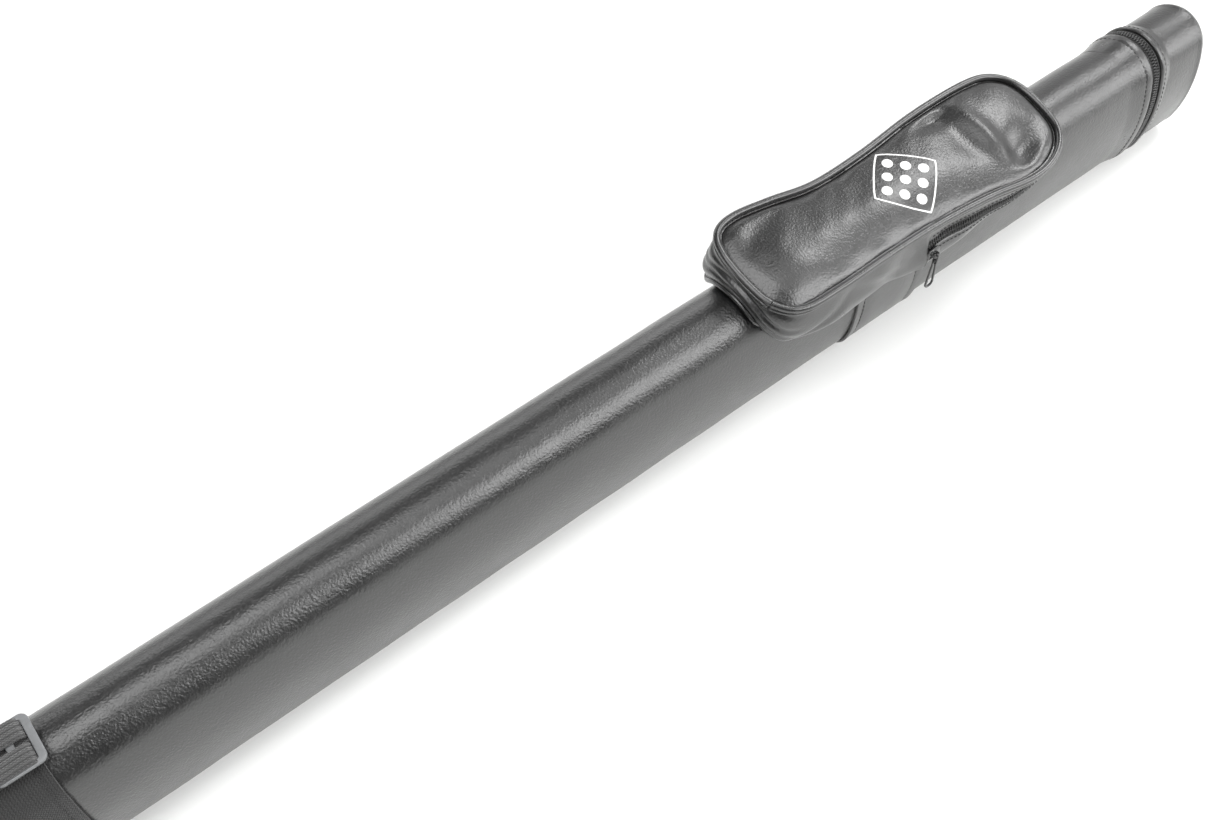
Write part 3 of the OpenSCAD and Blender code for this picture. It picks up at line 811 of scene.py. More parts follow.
def plan(points):
    return closed_curve([((x * MM + X_CLOSED), v * MM) for x, v in points])


PANEL_PLAN, BASE_PLAN = plan(PANEL_SEAM), plan(BASE_SEAM)
MIDDLE_PLAN = (PANEL_PLAN + BASE_PLAN) / 2
ALONG = np.roll(MIDDLE_PLAN, -2, 0) - np.roll(MIDDLE_PLAN, 2, 0)
PLAN_OUT = unit(np.stack([ALONG[:, 1], -ALONG[:, 0]], -1)) * -1.0
COUNT = len(PANEL_PLAN)


def saddle(x, v, w):
    """The pocket's tilted frame: x along the case, v across, w up from the centre of its upper edge."""
    y = v * math.cos(TILT) - w * math.sin(TILT)
    z = SADDLE_Z + v * math.sin(TILT) + w * math.cos(TILT)
    return np.stack(np.broadcast_arrays(x, y, z), -1)


UP = np.array([0, -math.sin(TILT), math.cos(TILT)])


def smoothed(values, width):
    """A running mean round a closed row of values."""
    kernel = np.hanning(2 * width + 1)
    kernel /= kernel.sum()
    return sum(k * np.roll(values, i - width) for i, k in enumerate(kernel))


def base_height():
    """Where the walls start: on the case at the ends, and hanging beside it along the sides."""
    x, v = BASE_PLAN[:, 0] - X_CLOSED, BASE_PLAN[:, 1]
    on_case = np.sqrt(np.maximum(0, BACK_R**2 - v**2))
    height = smoothed(np.maximum(WALL_W, on_case), 5)
    sag = 6 * MM * bump(x, 500 * MM, 26 * MM) + 2.5 * MM * bump(x, 560 * MM, 30 * MM)
    return height - sag * ramp(-v, 18 * MM, 25 * MM)


BASE_W = base_height()


def at_place(values, place):
    """Values round the outline at places given in outline points."""
    return pick(values.reshape(COUNT, -1), np.asarray(place, float) * PER)


def zip_height(v):
    return np.sqrt(ZIP_R**2 - np.minimum(np.abs(v), POCKET_HALF) ** 2) - ZIP_DROP


# Depth, place and length of the slope, level, width, place and half length: levels are shares of the wall's
# height, and the rest is in mm.
CREASES = [(2.6, 478, -60, 0.25, 0.1, 482, 17), (1.5, 530, 90, 0.45, 0.12, 535, 22)]


def slack(share, x, v):
    """How far a wall stands out between its seams: the bulge, the folds and the creases."""
    near, left = ramp(-v, 10 * MM, 26 * MM), 1 - ramp(x, 466 * MM, 480 * MM)
    hang = np.sin(math.pi * np.clip(share, 0, 1))
    out = 1.6 * MM * hang * (1 + 0.5 * ripple(np.stack([x, v, share * 20 * MM], -1), 45 * MM, 41))
    out = out + 1.8 * MM * hang * left
    zipped = ramp(x, 528 * MM, 558 * MM)
    low_bulge = np.exp(-(((share - 0.08) / 0.36) ** 2)) * (1 - np.exp(-np.maximum(share, 0) / 0.025))
    out = out + near * (1 - zipped) * 4.9 * MM * np.sin(math.pi * np.clip(share, 0, 1) ** 0.62)
    out = out + near * zipped * (8.1 - 2.6 * ramp(x, 584 * MM, 612 * MM)) * MM * low_bulge
    out = out + near * 2.2 * MM * bump(x, 505 * MM, 24 * MM) * bump(share, 0.42, 0.25)
    for depth, slope_x, slope, level, width, at_x, long in CREASES:
        leaning = bump(share + (x - slope_x * MM) / (slope * MM), level, width)
        out = out - near * depth * MM * leaning * bump(x, at_x * MM, long * MM)
    for level, depth, width in ((0.34, 1.7, 0.075), (0.62, 1.2, 0.06), (0.82, 0.9, 0.05)):
        tilt = 0.08 * np.sin(v / (9 * MM) + 7 * level)
        out = out - left * depth * MM * bump(share + tilt, level, width)
    far_corner = bump(v, 28 * MM, 9 * MM) * left
    out = out + far_corner * 2.0 * MM * bump(share, 0.35, 0.2)
    return out - near * 0.8 * MM * hang * bump(x, 625 * MM, 60 * MM)


def wall(place, w, out=0.0):
    """Points on the pocket's wall at heights w, and out from it."""
    place = np.asarray(place, float)
    flat = place.ravel() if place.ndim else place[None]
    w = np.broadcast_to(w, flat.shape) if np.ndim(w) < 2 else w.ravel()
    low, top = at_place(BASE_PLAN, flat), at_place(PANEL_PLAN, flat)
    base = at_place(BASE_W, flat)[:, 0]
    share = (w - base) / (PANEL_W - base)
    xv = low + (top - low) * np.clip(share, 0, 1.05)[:, None]
    step = slack(share, xv[:, 0] - X_CLOSED, xv[:, 1]) + out
    xv = xv + unit(at_place(PLAN_OUT, flat)) * np.reshape(step, (-1, 1))
    return saddle(xv[:, 0], xv[:, 1], w).reshape(*place.shape, 3)


def places(start, end):
    """Places from start to end round the outline, at its own samples."""
    return np.linspace(start, end, max(3, int(round((end - start) * PER)) + 1))


def wall_strip(start, end, low, high, rows=26, thick=1.1 * MM):
    """A closed piece of wall between heights that may change round the outline."""
    place = places(start, end)
    t = np.linspace(0, 1, rows)
    low, high = np.broadcast_to(low(place), place.shape), np.broadcast_to(high(place), place.shape)
    w = low[:, None] + (high - low)[:, None] * t
    spots = np.repeat(place[:, None], rows, 1)
    lip = 0.4 * MM * (bump(t, 0, 0.02) + bump(t, 1, 0.02))
    outer = wall(spots, w, -np.tile(lip, (len(place), 1)).ravel())
    inner = wall(spots[:, ::-1], w[:, ::-1], -thick)
    return grid(np.concatenate([outer, inner], 1), wrap_v=True, caps=True)


def zip_level(place):
    return zip_height(at_place(MIDDLE_PLAN, place)[:, 1])


def wall_bottom(place):
    return at_place(BASE_W, place)[:, 0]


def wall_top(place):
    return np.full(len(place), PANEL_W)


def surface_frame(place, w, out=0.0):
    """Points on the wall, the direction up it and the direction out of it."""
    here = wall(place, w, out)
    up = unit(wall(place, w + 0.5 * MM, out) - wall(place, w - 0.5 * MM, out))
    along = tangents(here)
    facing = unit(np.cross(along, up))
    away = here - here.mean(0)
    facing = facing * np.sign(np.sum(facing * away, axis=1).sum())
    return here, up, facing


# ---------------------------------------------------------------- pocket pieces

FLAP_BEND = ("case", "flap", saddle(X_BEND, 0, 0).tolist(), saddle(X_BEND + 14 * MM, 0, 0).tolist())
PANEL_BEND = ("case", "flap", saddle(X_BEND - 5 * MM, 0, 0).tolist(), saddle(X_BEND + 7 * MM, 0, 0).tolist())
SLOT = 3.0 * MM  # from the zip's middle to the leatherette's edge


def pocket_walls():
    full = wall_strip(ZIP_START - 0.25, 21 + FAR_BEND + 0.12, wall_bottom, wall_top, rows=40)
    lower = wall_strip(FAR_BEND, ZIP_START, wall_bottom, lambda p: zip_level(p) - SLOT)
    make("pocket_wall", full, SOFT_LEATHER)
    make("pocket_lower_wall", lower, SOFT_LEATHER, nodes=["pocket_gusset"])
    upper = wall_strip(FAR_BEND, ZIP_START, lambda p: zip_level(p) + SLOT, wall_top)
    make("flap_wall", upper, SOFT_LEATHER, nodes=["flap_gusset"], bend=FLAP_BEND)
    place = places(FAR_BEND + 0.2, ZIP_START - 0.1)
    rows = {}
    for name, side in (("lower", -1), ("upper", 1)):
        here, _, facing = surface_frame(place, zip_level(place) + side * (SLOT + 1.6 * MM), 0.1 * MM)
        rows[name] = stitches(here, facing, 2.8 * MM, 0.26 * MM)
    make("lower_wall_stitches", rows["lower"], THREAD)
    make("upper_wall_stitches", rows["upper"], THREAD, bend=FLAP_BEND)


def pocket_zip():
    place = places(FAR_BEND + 0.05, ZIP_START)
    here, up, facing = surface_frame(place, zip_level(place), -0.75 * MM)
    halves = (("lower", -1, "case", "pocket", None), ("upper", 1, "flap", "flap", FLAP_BEND))
    for name, side, body, node, bend in halves:
        zip_side("pocket_zip_" + name, here, up, facing, side, body,
                 [node + "_zip_tape"], [node + "_zip_coil"], 0.1 * MM, bend)


def garage():
    """Folded edge of the leatherette over the end of the zip."""
    low, high = ZIP_START, ZIP_START + 0.6
    w = np.linspace(ZIP_W - 9 * MM, PANEL_W - 4 * MM, 40)
    across = ((high, -0.3), (high, -0.05), (high - 0.2, 0.15), (high - 0.4, 0.45), (low + 0.07, 1.15),
              (low + 0.025, 1.3), (low, 1.05), (low - 0.01, 0.5), (low, 0.0))
    rows = [wall(np.full(40, p), w, o * MM) for p, o in across]
    make("zip_tab", grid(np.stack(rows, 1), wrap_v=True, caps=True), SOFT_LEATHER, nodes=["zip_garage"])


def piping_path(drop=0.0, out=1.5 * MM):
    xv = PANEL_PLAN + PLAN_OUT * out
    return saddle(xv[:, 0], xv[:, 1], np.full(COUNT, PANEL_W + 0.6 * MM - drop))


def turned(path, start):
    """A closed path from another of its points."""
    return np.roll(path, -start, 0)


def pocket_piping():
    """Round piping on the panel's seam, whose ends meet at the left end, and its seam allowance."""
    joint = int(20.2 * PER)
    path = turned(piping_path(), joint)
    up = np.tile(UP, (COUNT, 1))
    cords = Soup().add(*tube(path, up, 1.85 * MM, 14))
    wrap_at = path[[0, 1, 2, 3]] - (path[1] - path[0]) * 0.6
    cords.add(*tube(wrap_at, up[:4], 2.05 * MM, 14))
    make("panel_piping", cords, PIPING, nodes=["pocket_piping", "flap_piping"], bend=PANEL_BEND)
    under = turned(piping_path(3.5 * MM, 1.7 * MM), joint)
    make("seam_allowance", tube(under, up, 1.2 * MM, 12), SOFT_LEATHER, bend=PANEL_BEND)
    tucked = ramp(-BASE_PLAN[:, 1:], 12 * MM, 21 * MM)
    xv = BASE_PLAN + PLAN_OUT * (1.0 - 5.0 * tucked) * MM
    base = saddle(xv[:, 0], xv[:, 1], BASE_W + 0.9 * MM)
    outs = np.concatenate([PLAN_OUT, np.zeros((COUNT, 1))], 1)
    make("base_piping", tube(base, unit(outs + [0, 0, 0.3]), 1.35 * MM, 12, closed=True), PIPING,
         nodes=["pocket_base_piping"])


def crowded(count):
    """Shares from 0 to 1, closer together near both ends."""
    s = np.linspace(0, 1, count)
    return s - 0.1 * np.sin(TAU * s)


def outline_side(curve, start, end, count):
    """Points along a stretch of an outline."""
    dense = at_place(curve, places(start, end))
    run = running(np.linalg.norm(np.diff(dense, axis=0), axis=1))
    t = crowded(count) * run[-1]
    return np.stack([np.interp(t, run, dense[:, k]) for k in range(2)], -1)


CORNERS = (2.2, 9.4, 13.0, 19.6)  # far left, far right, near right, near left


def patch(curve, nu, nv):
    """A grid of (x, v) that fills an outline."""
    far = outline_side(curve, CORNERS[0], CORNERS[1], nu)
    right = outline_side(curve, CORNERS[1], CORNERS[2], nv)[::-1]
    near = outline_side(curve, CORNERS[2], CORNERS[3], nu)[::-1]
    left = outline_side(curve, CORNERS[3], CORNERS[0] + 21, nv)
    u, v = crowded(nu)[:, None, None], crowded(nv)[None, :, None]
    sides = (1 - v) * near[:, None] + v * far[:, None] + (1 - u) * left[None] + u * right[None]
    ends = ((1 - u) * (1 - v) * near[0] + u * (1 - v) * near[-1] + (1 - u) * v * far[0]
            + u * v * far[-1])
    return sides - ends


def inset(xv):
    """Distance of points from the panel's seam."""
    flat = xv.reshape(-1, 2)
    nearest = np.full(len(flat), 1.0)
    for p, q in zip(PANEL_PLAN, np.roll(PANEL_PLAN, -1, 0)):
        way = q - p
        share = np.clip((flat - p) @ way / (way @ way), 0, 1)
        nearest = np.minimum(nearest, np.linalg.norm(flat - p - share[:, None] * way, axis=1))
    return nearest.reshape(xv.shape[:-1])


def swell(x, v, x0, v0, long, wide, turn, rise):
    """A hump or dent on the panel: its place and size in mm, its turn in degrees and its height in mm."""
    c, s = math.cos(math.radians(turn)), math.sin(math.radians(turn))
    dx, dv = x - x0, v - v0
    return rise * np.exp(-(((dx * c + dv * s) / long) ** 2) - (((dv * c - dx * s) / wide) ** 2))


# Place along and across, size along and across, turn in degrees, and rise, all in mm.
DENTS = [(636, -18, 15, 8, 24, -4.2), (624, -4, 5.5, 23, 2, 2.2), (606, 23, 11, 6.5, -5, -3.2),
         (612, 4, 8, 15, 0, -1.4), (645, 10, 14, 12, 0, 0.8), (492, -8, 22, 13, 0, 1.3),
         (548, -4, 46, 13, -3, 1.5), (483, 19, 12, 7, 15, -1.5), (648, -27, 6, 5, 0, 0.9)]


def panel_height(xv):
    """Height of the panel's top: a groove inside the piping, a soft crown, and the dents."""
    depth = inset(xv) / MM
    x, v = (xv[..., 0] - X_CLOSED) / MM, xv[..., 1] / MM
    rise = -1.4 + 2.5 * (1 - np.exp(-depth / 2.4)) + 3.0 * (1 - (1 - np.clip(depth / 28, 0, 1)) ** 2)
    for hump in DENTS:
        rise = rise + swell(x, v, *hump) * ramp(depth, 1, 9)
    pull = 0.3 * np.sin(x / 5.5 + 1.5 * np.sin(x / 17)) * bump(depth, 3.5, 2.5)
    return PANEL_W + (rise + pull) * MM


def pocket_panel():
    xv = patch(PANEL_PLAN, 200, 76)
    x, v = xv[..., 0], xv[..., 1]
    top = saddle(x, v, panel_height(xv))
    top = top + UP * (ripple(top, 16 * MM, 51) * 0.09 * MM + ripple(top, 42 * MM, 52) * 0.28 * MM)[..., None]
    under = top - UP * 1.1 * MM
    nu, nv = x.shape
    first = nu * nv
    _, top_faces, lengths = grid(top)
    faces = top_faces + [[i + first for i in f] for f in top_faces]
    rim = [i * nv for i in range(nu)] + [(nu - 1) * nv + j for j in range(1, nv)]
    rim += [i * nv + nv - 1 for i in range(nu - 2, -1, -1)] + [j for j in range(nv - 2, 0, -1)]
    for a, b in zip(rim, rim[1:] + rim[:1]):
        faces.append([a, b, b + first, a + first])
    points = np.concatenate([top.reshape(-1, 3), under.reshape(-1, 3)])
    make("pocket_panel_skin", (points, faces, np.concatenate([lengths, lengths])), SOFT_LEATHER,
         nodes=["pocket_panel", "pocket_flap"], bend=PANEL_BEND)
    return BVHTree.FromPolygons([tuple(p) for p in top.reshape(-1, 3)], top_faces)


def pocket_back():
    xv = patch(BASE_PLAN - PLAN_OUT * 1.3 * MM, 90, 40)
    w = np.maximum(WALL_W + 0.4 * MM, np.sqrt(np.maximum(0, (BACK_R - 0.5 * MM) ** 2 - xv[..., 1] ** 2)))
    top, under = (saddle(xv[..., 0], xv[..., 1], w + a * MM) for a in (0.4, -0.3))
    rows = np.concatenate([top, under[:, ::-1]], 1)
    make("pocket_back_lining", grid(rows, wrap_v=True, caps=True), POCKET_CLOTH, nodes=["pocket_back"])


def emblem(surface):
    """Nine balls racked in a diamond, printed on the panel."""
    low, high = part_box("emblem")
    centre = np.array([(low.x + high.x) / 2, (low.y + high.y) / 2])
    v0 = (centre[1] + (PANEL_W + 1 * MM) * math.sin(TILT)) / math.cos(TILT)
    reach = 23 * MM
    line = 1.2 * MM

    def laid(dx, dv):
        points = []
        for a, b in zip(np.ravel(dx), np.ravel(dv)):
            above = Vector(saddle(centre[0] + a, v0 + b, PANEL_W + 12 * MM))
            points.append(np.array(surface.ray_cast(above, Vector(-UP))[0]))
        return np.array(points)

    soup = Soup()

    def print_patch(dx, dv):
        face = laid(dx, dv).reshape(*np.shape(dx), 3)
        rows = np.concatenate([face + UP * 0.10 * MM, (face - UP * 0.15 * MM)[:, ::-1]], 1)
        soup.add(*grid(rows, wrap_u=True, wrap_v=True))

    t = np.arange(160) / 160 * TAU
    shape = (np.abs(np.cos(t)) ** 1.12 + np.abs(np.sin(t)) ** 1.12) ** (-1 / 1.12)
    outline = np.stack([np.cos(t) * shape, np.sin(t) * shape * 0.98], -1) * 0.96
    rows = np.stack([outline * (reach - line * k / 3) for k in range(4)], 1)
    print_patch(rows[..., 0], rows[..., 1])
    pitch = 6.6 * MM
    for row, count in enumerate((1, 2, 3, 2, 1)):
        for k in range(count):
            at_x, at_v = (row - 2) * pitch, (k - (count - 1) / 2) * 2 * pitch
            a = (np.arange(28) / 28 * TAU)[:, None]
            r = np.linspace(2.9 * MM, 0.02 * MM, 5)[None]
            print_patch(at_x + np.cos(a) * r, at_v + np.sin(a) * r)
    make("printed_emblem", soup, INK, nodes=["emblem"])


# ---------------------------------------------------------------- sliders and pulls


def ring_plate(outer, inner, centre, side, up, out, thick):
    """A flat plate between two outlines (across, up), with rounded edges."""
    outer, inner = np.array(outer), np.array(inner)
    span = np.linalg.norm(outer - inner, axis=1).mean()
    share, rise = np.array(rounded(span, thick, 0.28 * thick, 2, (span / 2, 0.0))).T
    share = share / span
    flat = outer[:, None] + (inner - outer)[:, None] * share[None, :, None]
    points = centre + flat[..., :1] * side + flat[..., 1:] * up + rise[None, :, None] * out
    return grid(points, wrap_u=True, wrap_v=True)


def drop_outline(r_top, r_low, top, low, steps=40):
    """A long rounded outline, narrow above and wide below."""
    points = []
    for i in range(steps):
        a = TAU * (i + 0.5) / steps
        r, y = (r_top, top) if math.sin(a) > 0 else (r_low, low)
        points.append((r * math.cos(a), y + r * math.sin(a)))
    return points


def softened(corners, count, passes):
    """Points along a line of corners, with the corners rounded."""
    p = np.array(corners)
    u = np.linspace(0, len(p) - 1, count)
    line = np.stack([np.interp(u, np.arange(len(p)), p[:, k]) for k in range(2)], -1)
    for _ in range(passes):
        line[1:-1] = (line[:-2] + 2 * line[1:-1] + line[2:]) / 4
    return line


SLIDER_RINGS = [(0.86, 0.0), (0.97, 0.05), (1.0, 0.35), (1.0, 0.8), (0.93, 1.15), (0.8, 1.32), (0.45, 1.42),
                (0.1, 1.45)]  # share of the outline, and height in mm


def slider_body(name, centre, side, up, out, wide, tall, bail_at, bail_out, look, body, node):
    """A cast slider: a waisted plate with turned-in edges and a bail over it. Centre is its back face."""
    shape = []
    for i in range(56):
        a = TAU * i / 56
        c, s = math.cos(a), math.sin(a)
        r = (abs(c) ** 3.2 + abs(s) ** 3.2) ** (-1 / 3.2)
        waist = 1 - 0.14 * math.exp(-((r * c + 0.25) / 0.35) ** 2)
        shape.append((r * c * wide / 2, r * s * tall / 2 * waist))
    shape = np.array(shape)
    rows = []
    for scale, height in SLIDER_RINGS:
        rows.append(centre + shape[:, :1] * scale * side + shape[:, 1:] * scale * up + out * height * MM)
    soup = Soup().add(*grid(np.array(rows), wrap_v=True, caps=True))
    half, top = 2.0 * MM, bail_out / MM
    arch = [(-half, 0.8), (-half, top - 0.9), (-half * 0.75, top - 0.15), (0, top),
            (half * 0.75, top - 0.15), (half, top - 0.9), (half, 0.8)]
    line = softened([(a, h * MM) for a, h in arch], 25, 1)
    path = centre + line[:, :1] * side + line[:, 1:] * out + up * bail_at
    soup.add(*tube(path, np.tile(up, (len(path), 1)), 0.62 * MM, 10))
    make(name, soup, look, body, [node])


def joint_point(name):
    return np.array(joint(name)["pos_m"])


def pocket_pull():
    bail = joint_point("pull_ring_swing")
    out = np.array([0, -math.cos(TILT), -math.sin(TILT)])
    lean = math.radians(16)
    up_wall = UP * math.cos(lean) - out * math.sin(lean)
    out_wall = out * math.cos(lean) + UP * math.sin(lean)
    back = bail - out_wall * 3.0 * MM
    slider_body("zip_slider", back, EX, up_wall, out_wall, 9 * MM, 7.6 * MM, 0, 3.3 * MM, BLACK_METAL,
                "pocket_slider", "pocket_slider")
    a = np.arange(36) / 36 * TAU
    drop = 5 * MM
    z = np.where(np.sin(a) > 0, 0, -drop) + np.sin(a) * 1.15 * MM
    loop = bail + np.stack([a * 0, np.cos(a) * 1.15 * MM, z], -1)
    ring = tube(loop, np.tile(EX, (36, 1)), 0.5 * MM, 10, closed=True)
    make("pull_link", ring, BLACK_METAL, "pull_ring", ["pull_ring"])
    pin = joint_point("pull_tab_swing")
    outer = drop_outline(1.7 * MM, 3.2 * MM, 0.4 * MM, -16.8 * MM)
    hole = drop_outline(0.75 * MM, 2.05 * MM, 0.3 * MM, -16.6 * MM)
    tab = ring_plate(outer, hole, pin, EX, EZ, EY, 1.1 * MM)
    make("pull_loop", tab, BLACK_METAL, "pull_tab", ["pull_tab"])


CAP_SLIDER_LOW = math.radians(13)  # the cap's slider below the middle of the far side


def cap_pull():
    out = np.array([0, math.cos(CAP_SLIDER_LOW), -math.sin(CAP_SLIDER_LOW)])
    along = np.array([0, math.sin(CAP_SLIDER_LOW), math.cos(CAP_SLIDER_LOW)])
    centre = np.array([X_ZIP, -SIDE_Y, OVAL_Z]) + out * (SIDE_R + 2.6 * MM)
    slider_body("cap_zip_slider", centre, EX, along, out, 8 * MM, 9 * MM, -2.2 * MM, 3.1 * MM, BLACK_METAL,
                "cap_slider", "cap_slider")
    pin = joint_point("cap_pull_swing")
    outer = drop_outline(1.3 * MM, 2.6 * MM, 0.2 * MM, -8.9 * MM)
    hole = drop_outline(0.65 * MM, 1.1 * MM, 0, -6.5 * MM)
    tab = ring_plate(outer, hole, pin, EX, EZ, EY, 1.3 * MM)
    make("cap_pull_tab", tab, BLACK_METAL, "cap_pull", ["cap_pull"])


# ---------------------------------------------------------------- shoulder strap and adjuster


def strap_box_stitch(centre, side, up, out, width, height):
    """A stitched box with a cross in it."""
    corners = [(-1, -1), (1, -1), (1, 1), (-1, 1), (-1, -1), (1, 1), (1, -1), (-1, 1)]
    soup = Soup()
    for (a, b), (c, d) in zip(corners, corners[1:]):
        start, end = (centre + side * i * width / 2 + up * j * height / 2 for i, j in ((a, b), (c, d)))
        path = np.linspace(start, end, 24)
        soup.add(*stitches(path, np.tile(out, (24, 1)), 2.4 * MM, 0.26 * MM))
    return soup


def webbing_over_oval(x0, x1, s0, s1, low, high, count=60):
    """Webbing laid round the oval between two shares of its girth."""
    s = np.linspace(s0, s1, count)
    edge = 0.35 * (high - low)
    profile = [(x0, low), (x0, (low + high) / 2), (x0 + edge, high)]
    profile += [(x, high) for x in np.linspace(x0 + 2 * edge, x1 - 2 * edge, 10)]
    profile += [(x1 - edge, high), (x1, (low + high) / 2), (x1, low)]
    profile = np.array(profile)
    points = on_oval(profile[None, :, 0], s[:, None], profile[None, :, 1])
    return grid(points, wrap_v=True, caps=True)


def straps():
    low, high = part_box("strap_wrap")
    strap_low, strap_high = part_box("shoulder_strap")
    half_span = (strap_high.z - strap_low.z) / 2
    s_end = share_at(low.z, far=True)
    web_low, web_high = BAND_T + 0.15 * MM, BAND_T + 1.35 * MM
    round_piece = webbing_over_oval(low.x, high.x, 0.5 - half_span / GIRTH, s_end, web_low, web_high)
    make("wrapped_webbing", round_piece, WEBBING, nodes=["strap_wrap"])
    low, high = strap_low, strap_high
    x = np.linspace(low.x, high.x, 150)
    t = (x - low.x) / (high.x - low.x)
    slackness = np.sin(math.pi * t) ** 0.6
    y = (low.y + high.y) / 2 + slackness * 0.9 * MM * (0.4 + np.sin(x / (41 * MM)) ** 2)
    z = (low.z + high.z) / 2 - slackness * 1.6 * MM
    path = np.stack([x, y, z], -1)
    up = np.tile(EZ, (150, 1))
    profile = rounded(high.z - low.z, 1.25 * MM, 0.5 * MM, 3)
    strap = sweep(path, up, np.cross(tangents(path), up) * -1, profile)
    make("shoulder_webbing", strap, WEBBING, nodes=["shoulder_strap"])
    rows = Soup()
    for at_x in (low.x + 11 * MM, high.x - 12 * MM):
        centre = np.array([at_x, high.y + 0.15 * MM, (low.z + high.z) / 2])
        box = strap_box_stitch(centre, EX, EZ, EY, 14 * MM, 14 * MM)
        rows.add(np.concatenate(box.points), box.faces)
    make("strap_stitches", rows, THREAD)


def adjuster():
    """A moulded strap adjuster: a frame with round corners and a bar across its middle."""
    low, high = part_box("strap_slider")
    centre = np.array([(low.x + high.x) / 2, 0, (low.z + high.z) / 2])
    long, wide, thick = high.x - low.x, high.y - low.y, high.z - low.z
    rail, bar = 2.4 * MM, 3.4 * MM
    outer = rounded(long, wide, 3.4 * MM, 5)
    hole = rounded(long - 2 * bar, wide - 2 * rail, 0.9 * MM, 5)
    soup = Soup().add(*ring_plate(outer, hole, centre, EX, EY, EZ, thick))
    path = centre + EY * np.linspace(-1, 1, 8)[:, None] * (wide / 2 - rail * 0.6)
    middle = sweep(path, np.tile(EX, (8, 1)), np.tile(EZ, (8, 1)), rounded(bar, thick * 0.85, 0.6 * MM, 3))
    soup.add(*middle)
    make("grey_adjuster", soup, BUCKLE, "strap_slider", ["strap_slider"])


def adjuster_webbing():
    """Webbing that lies on the case, and the two ribbed runs of it that come up over the adjuster."""
    low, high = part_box("adjuster_webbing")
    slider_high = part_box("strap_slider")[1]
    half = (high.y - low.y) / 2 - 0.2 * MM
    span = half / GIRTH
    x = np.linspace(low.x, high.x, 40)
    t = np.linspace(-1, 1, 15)
    s = 0.5 + t * span
    web_low, web_high = BAND_T + 0.15 * MM, BAND_T + 1.3 * MM
    upper_face = on_oval(x[:, None], s[None], web_high)
    lower = np.concatenate([upper_face, on_oval(x[:, None], s[None, ::-1], web_low)], 1)
    soup = Soup().add(*grid(lower, wrap_v=True, caps=True))
    top = high.z - 0.6 * MM
    base = SKIN_HIGH.z + web_high + 0.5 * MM
    end = slider_high.x - 4.3 * MM
    turns = [(low.x, base), (low.x + 4 * MM, base), (low.x + 9.5 * MM, top - 0.6 * MM)]
    turns += [(low.x + 12 * MM, top), (end - 10 * MM, top), (end - 4 * MM, top)]
    turns += [(end - 1.3 * MM, top - 0.4 * MM), (end - 0.2 * MM, top - 1.5 * MM), (end, base + 0.3 * MM)]
    line = softened(turns, 90, 3)
    path = np.stack([line[:, 0], line[:, 0] * 0, line[:, 1]], -1)
    across = np.tile(EY, (len(path), 1))
    strip = 10.4 * MM
    for way in (-1, 1):
        run = path + across * way * (strip / 2 + 1.4 * MM)
        profile = rounded(strip, 1.15 * MM, 0.45 * MM, 3)
        soup.add(*sweep(run, across, np.cross(tangents(run), across), profile))
    make("adjuster_strap", soup, WEBBING, nodes=["adjuster_webbing"])
    rows = strap_box_stitch(np.array([low.x + 5 * MM, 0, base + 0.55 * MM]), EX, EY, EZ, 7 * MM, 15 * MM)
    make("adjuster_stitches", rows, THREAD)


# ---------------------------------------------------------------- floor, light and camera


def aim(obj, place, target):
    obj.location = place
    obj.rotation_mode = "QUATERNION"
    obj.rotation_quaternion = (Vector(target) - Vector(place)).to_track_quat("-Z", "Y")


def softbox(name, place, target, size, size_y, watts):
    light = bpy.data.lights.new(name, "AREA")
    light.shape, light.size, light.size_y, light.energy = "RECTANGLE", size, size_y, watts
    aim(linked(name, light), place, target)


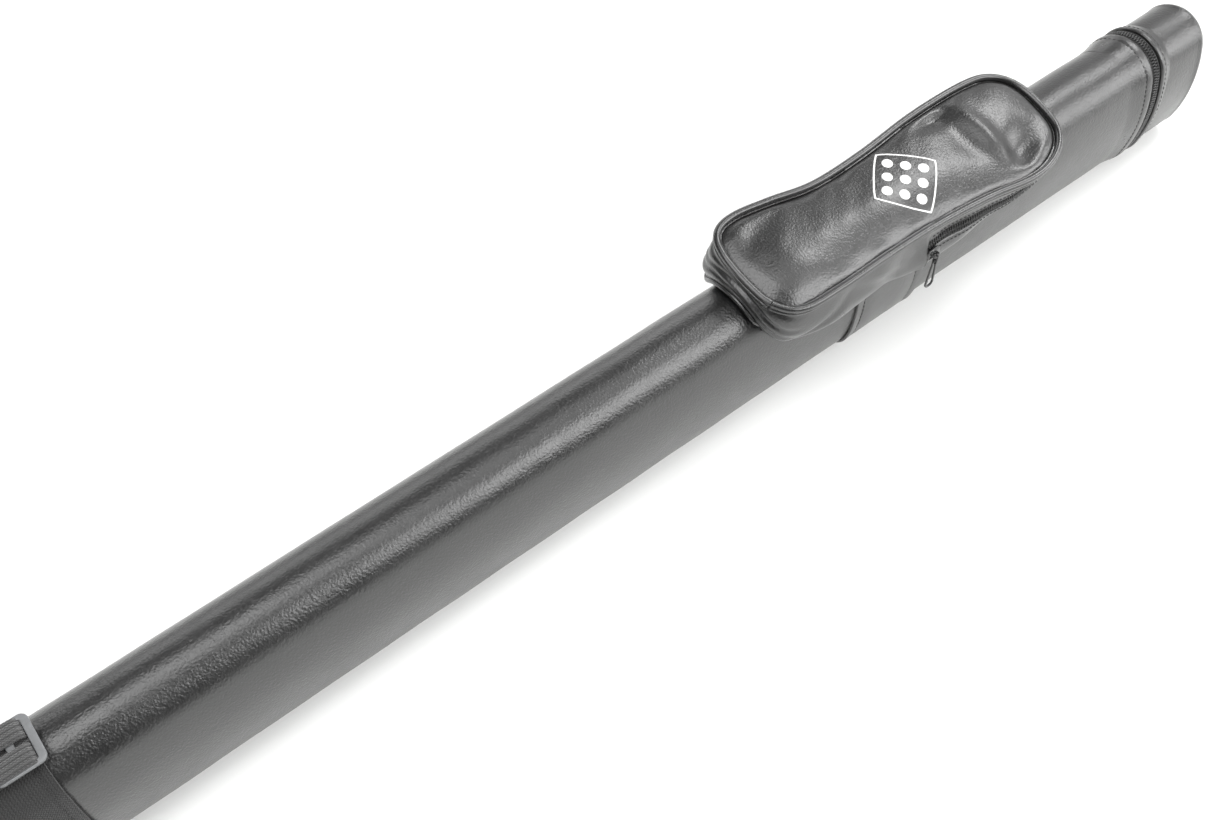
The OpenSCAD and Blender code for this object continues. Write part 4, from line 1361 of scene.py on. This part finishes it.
def studio():
    bpy.ops.mesh.primitive_plane_add(size=30, location=(0, 0, 0))
    floor = bpy.context.object
    floor.name = "floor"
    m = Nodes("pale_floor")
    m.feed("Base Color", (0.87, 0.875, 0.865, 1.0))
    m.feed("Roughness", 0.85)
    m.feed("Specular IOR Level", 0.1)
    m.feed("Emission Color", (1.0, 1.0, 0.99, 1.0))
    m.feed("Emission Strength", 0.12)
    floor.data.materials.append(m.data)
    sky = Nodes("studio", "worlds")
    bpy.context.scene.world = sky.data
    split = sky.add("ShaderNodeSeparateXYZ", {"Vector": sky.coords("Generated")})
    shade = sky.remap(split.outputs["Z"], 0.05, 0.55, 0.06, 0.17)
    glow = sky.remap(split.outputs["X"], 0.35, 0.8, 0.0, 0.85)
    sky.feed("Strength", sky.math("ADD", shade, glow))
    sky.feed("Color", (1.0, 1.0, 1.0, 1.0))
    middle = (-0.15, 0, 0.05)
    softbox("key", (0.36, -1.15, 1.2), middle, 1.15, 1.0, 17)
    softbox("window", (1.5, -1.25, 0.8), (0.1, 0, 0.05), 1.4, 1.1, 18)
    softbox("overhead", (-0.86, 0.1, 1.35), (-0.8, 0.1, 0), 0.75, 1.4, 8)
    softbox("wide_overhead", (-0.95, -0.05, 1.4), (-0.9, -0.05, 0), 0.8, 3.0, 9)
    softbox("right_light", (0.9, 0.1, 1.15), (0.08, 0, 0.1), 0.5, 0.5, 6)
    softbox("back_light", (0.3, 2.1, 1.0), middle, 2.6, 1.1, 17)
    softbox("left_light", (-2.2, -0.2, 1.4), middle, 1.3, 1.3, 8)


CAMERA_PLACE = (-0.3917, -0.2962, 0.5844)
CAMERA_YAW, CAMERA_DOWN, CAMERA_ROLL = (math.radians(a) for a in (36.30, 55.28, 1.84))
LENS = 38.55


def camera():
    data = bpy.data.cameras.new("camera")
    data.lens, data.sensor_width, data.sensor_fit = LENS, 36, "HORIZONTAL"
    data.clip_start, data.clip_end = 0.01, 100
    eye = linked("camera", data)
    bpy.context.scene.camera = eye
    flat = math.cos(CAMERA_DOWN)
    ahead = Vector((math.sin(CAMERA_YAW) * flat, math.cos(CAMERA_YAW) * flat, -math.sin(CAMERA_DOWN)))
    level = Vector((math.cos(CAMERA_YAW), -math.sin(CAMERA_YAW), 0))
    under = ahead.cross(level)
    right = level * math.cos(CAMERA_ROLL) + under * math.sin(CAMERA_ROLL)
    down = under * math.cos(CAMERA_ROLL) - level * math.sin(CAMERA_ROLL)
    turn = Matrix((right, -down, -ahead)).transposed().to_4x4()
    eye.matrix_world = Matrix.Translation(CAMERA_PLACE) @ turn


# ---------------------------------------------------------------- the whole case

studio()
camera()
bpy.context.scene.view_settings.view_transform = "Standard"
tube_parts()
closed_end()
linings()
cap_parts()
cap_hinge()
bands()
straps()
adjuster()
adjuster_webbing()
pocket_walls()
pocket_zip()
garage()
pocket_piping()
panel_surface = pocket_panel()
pocket_back()
emblem(panel_surface)
pocket_pull()
cap_pull()
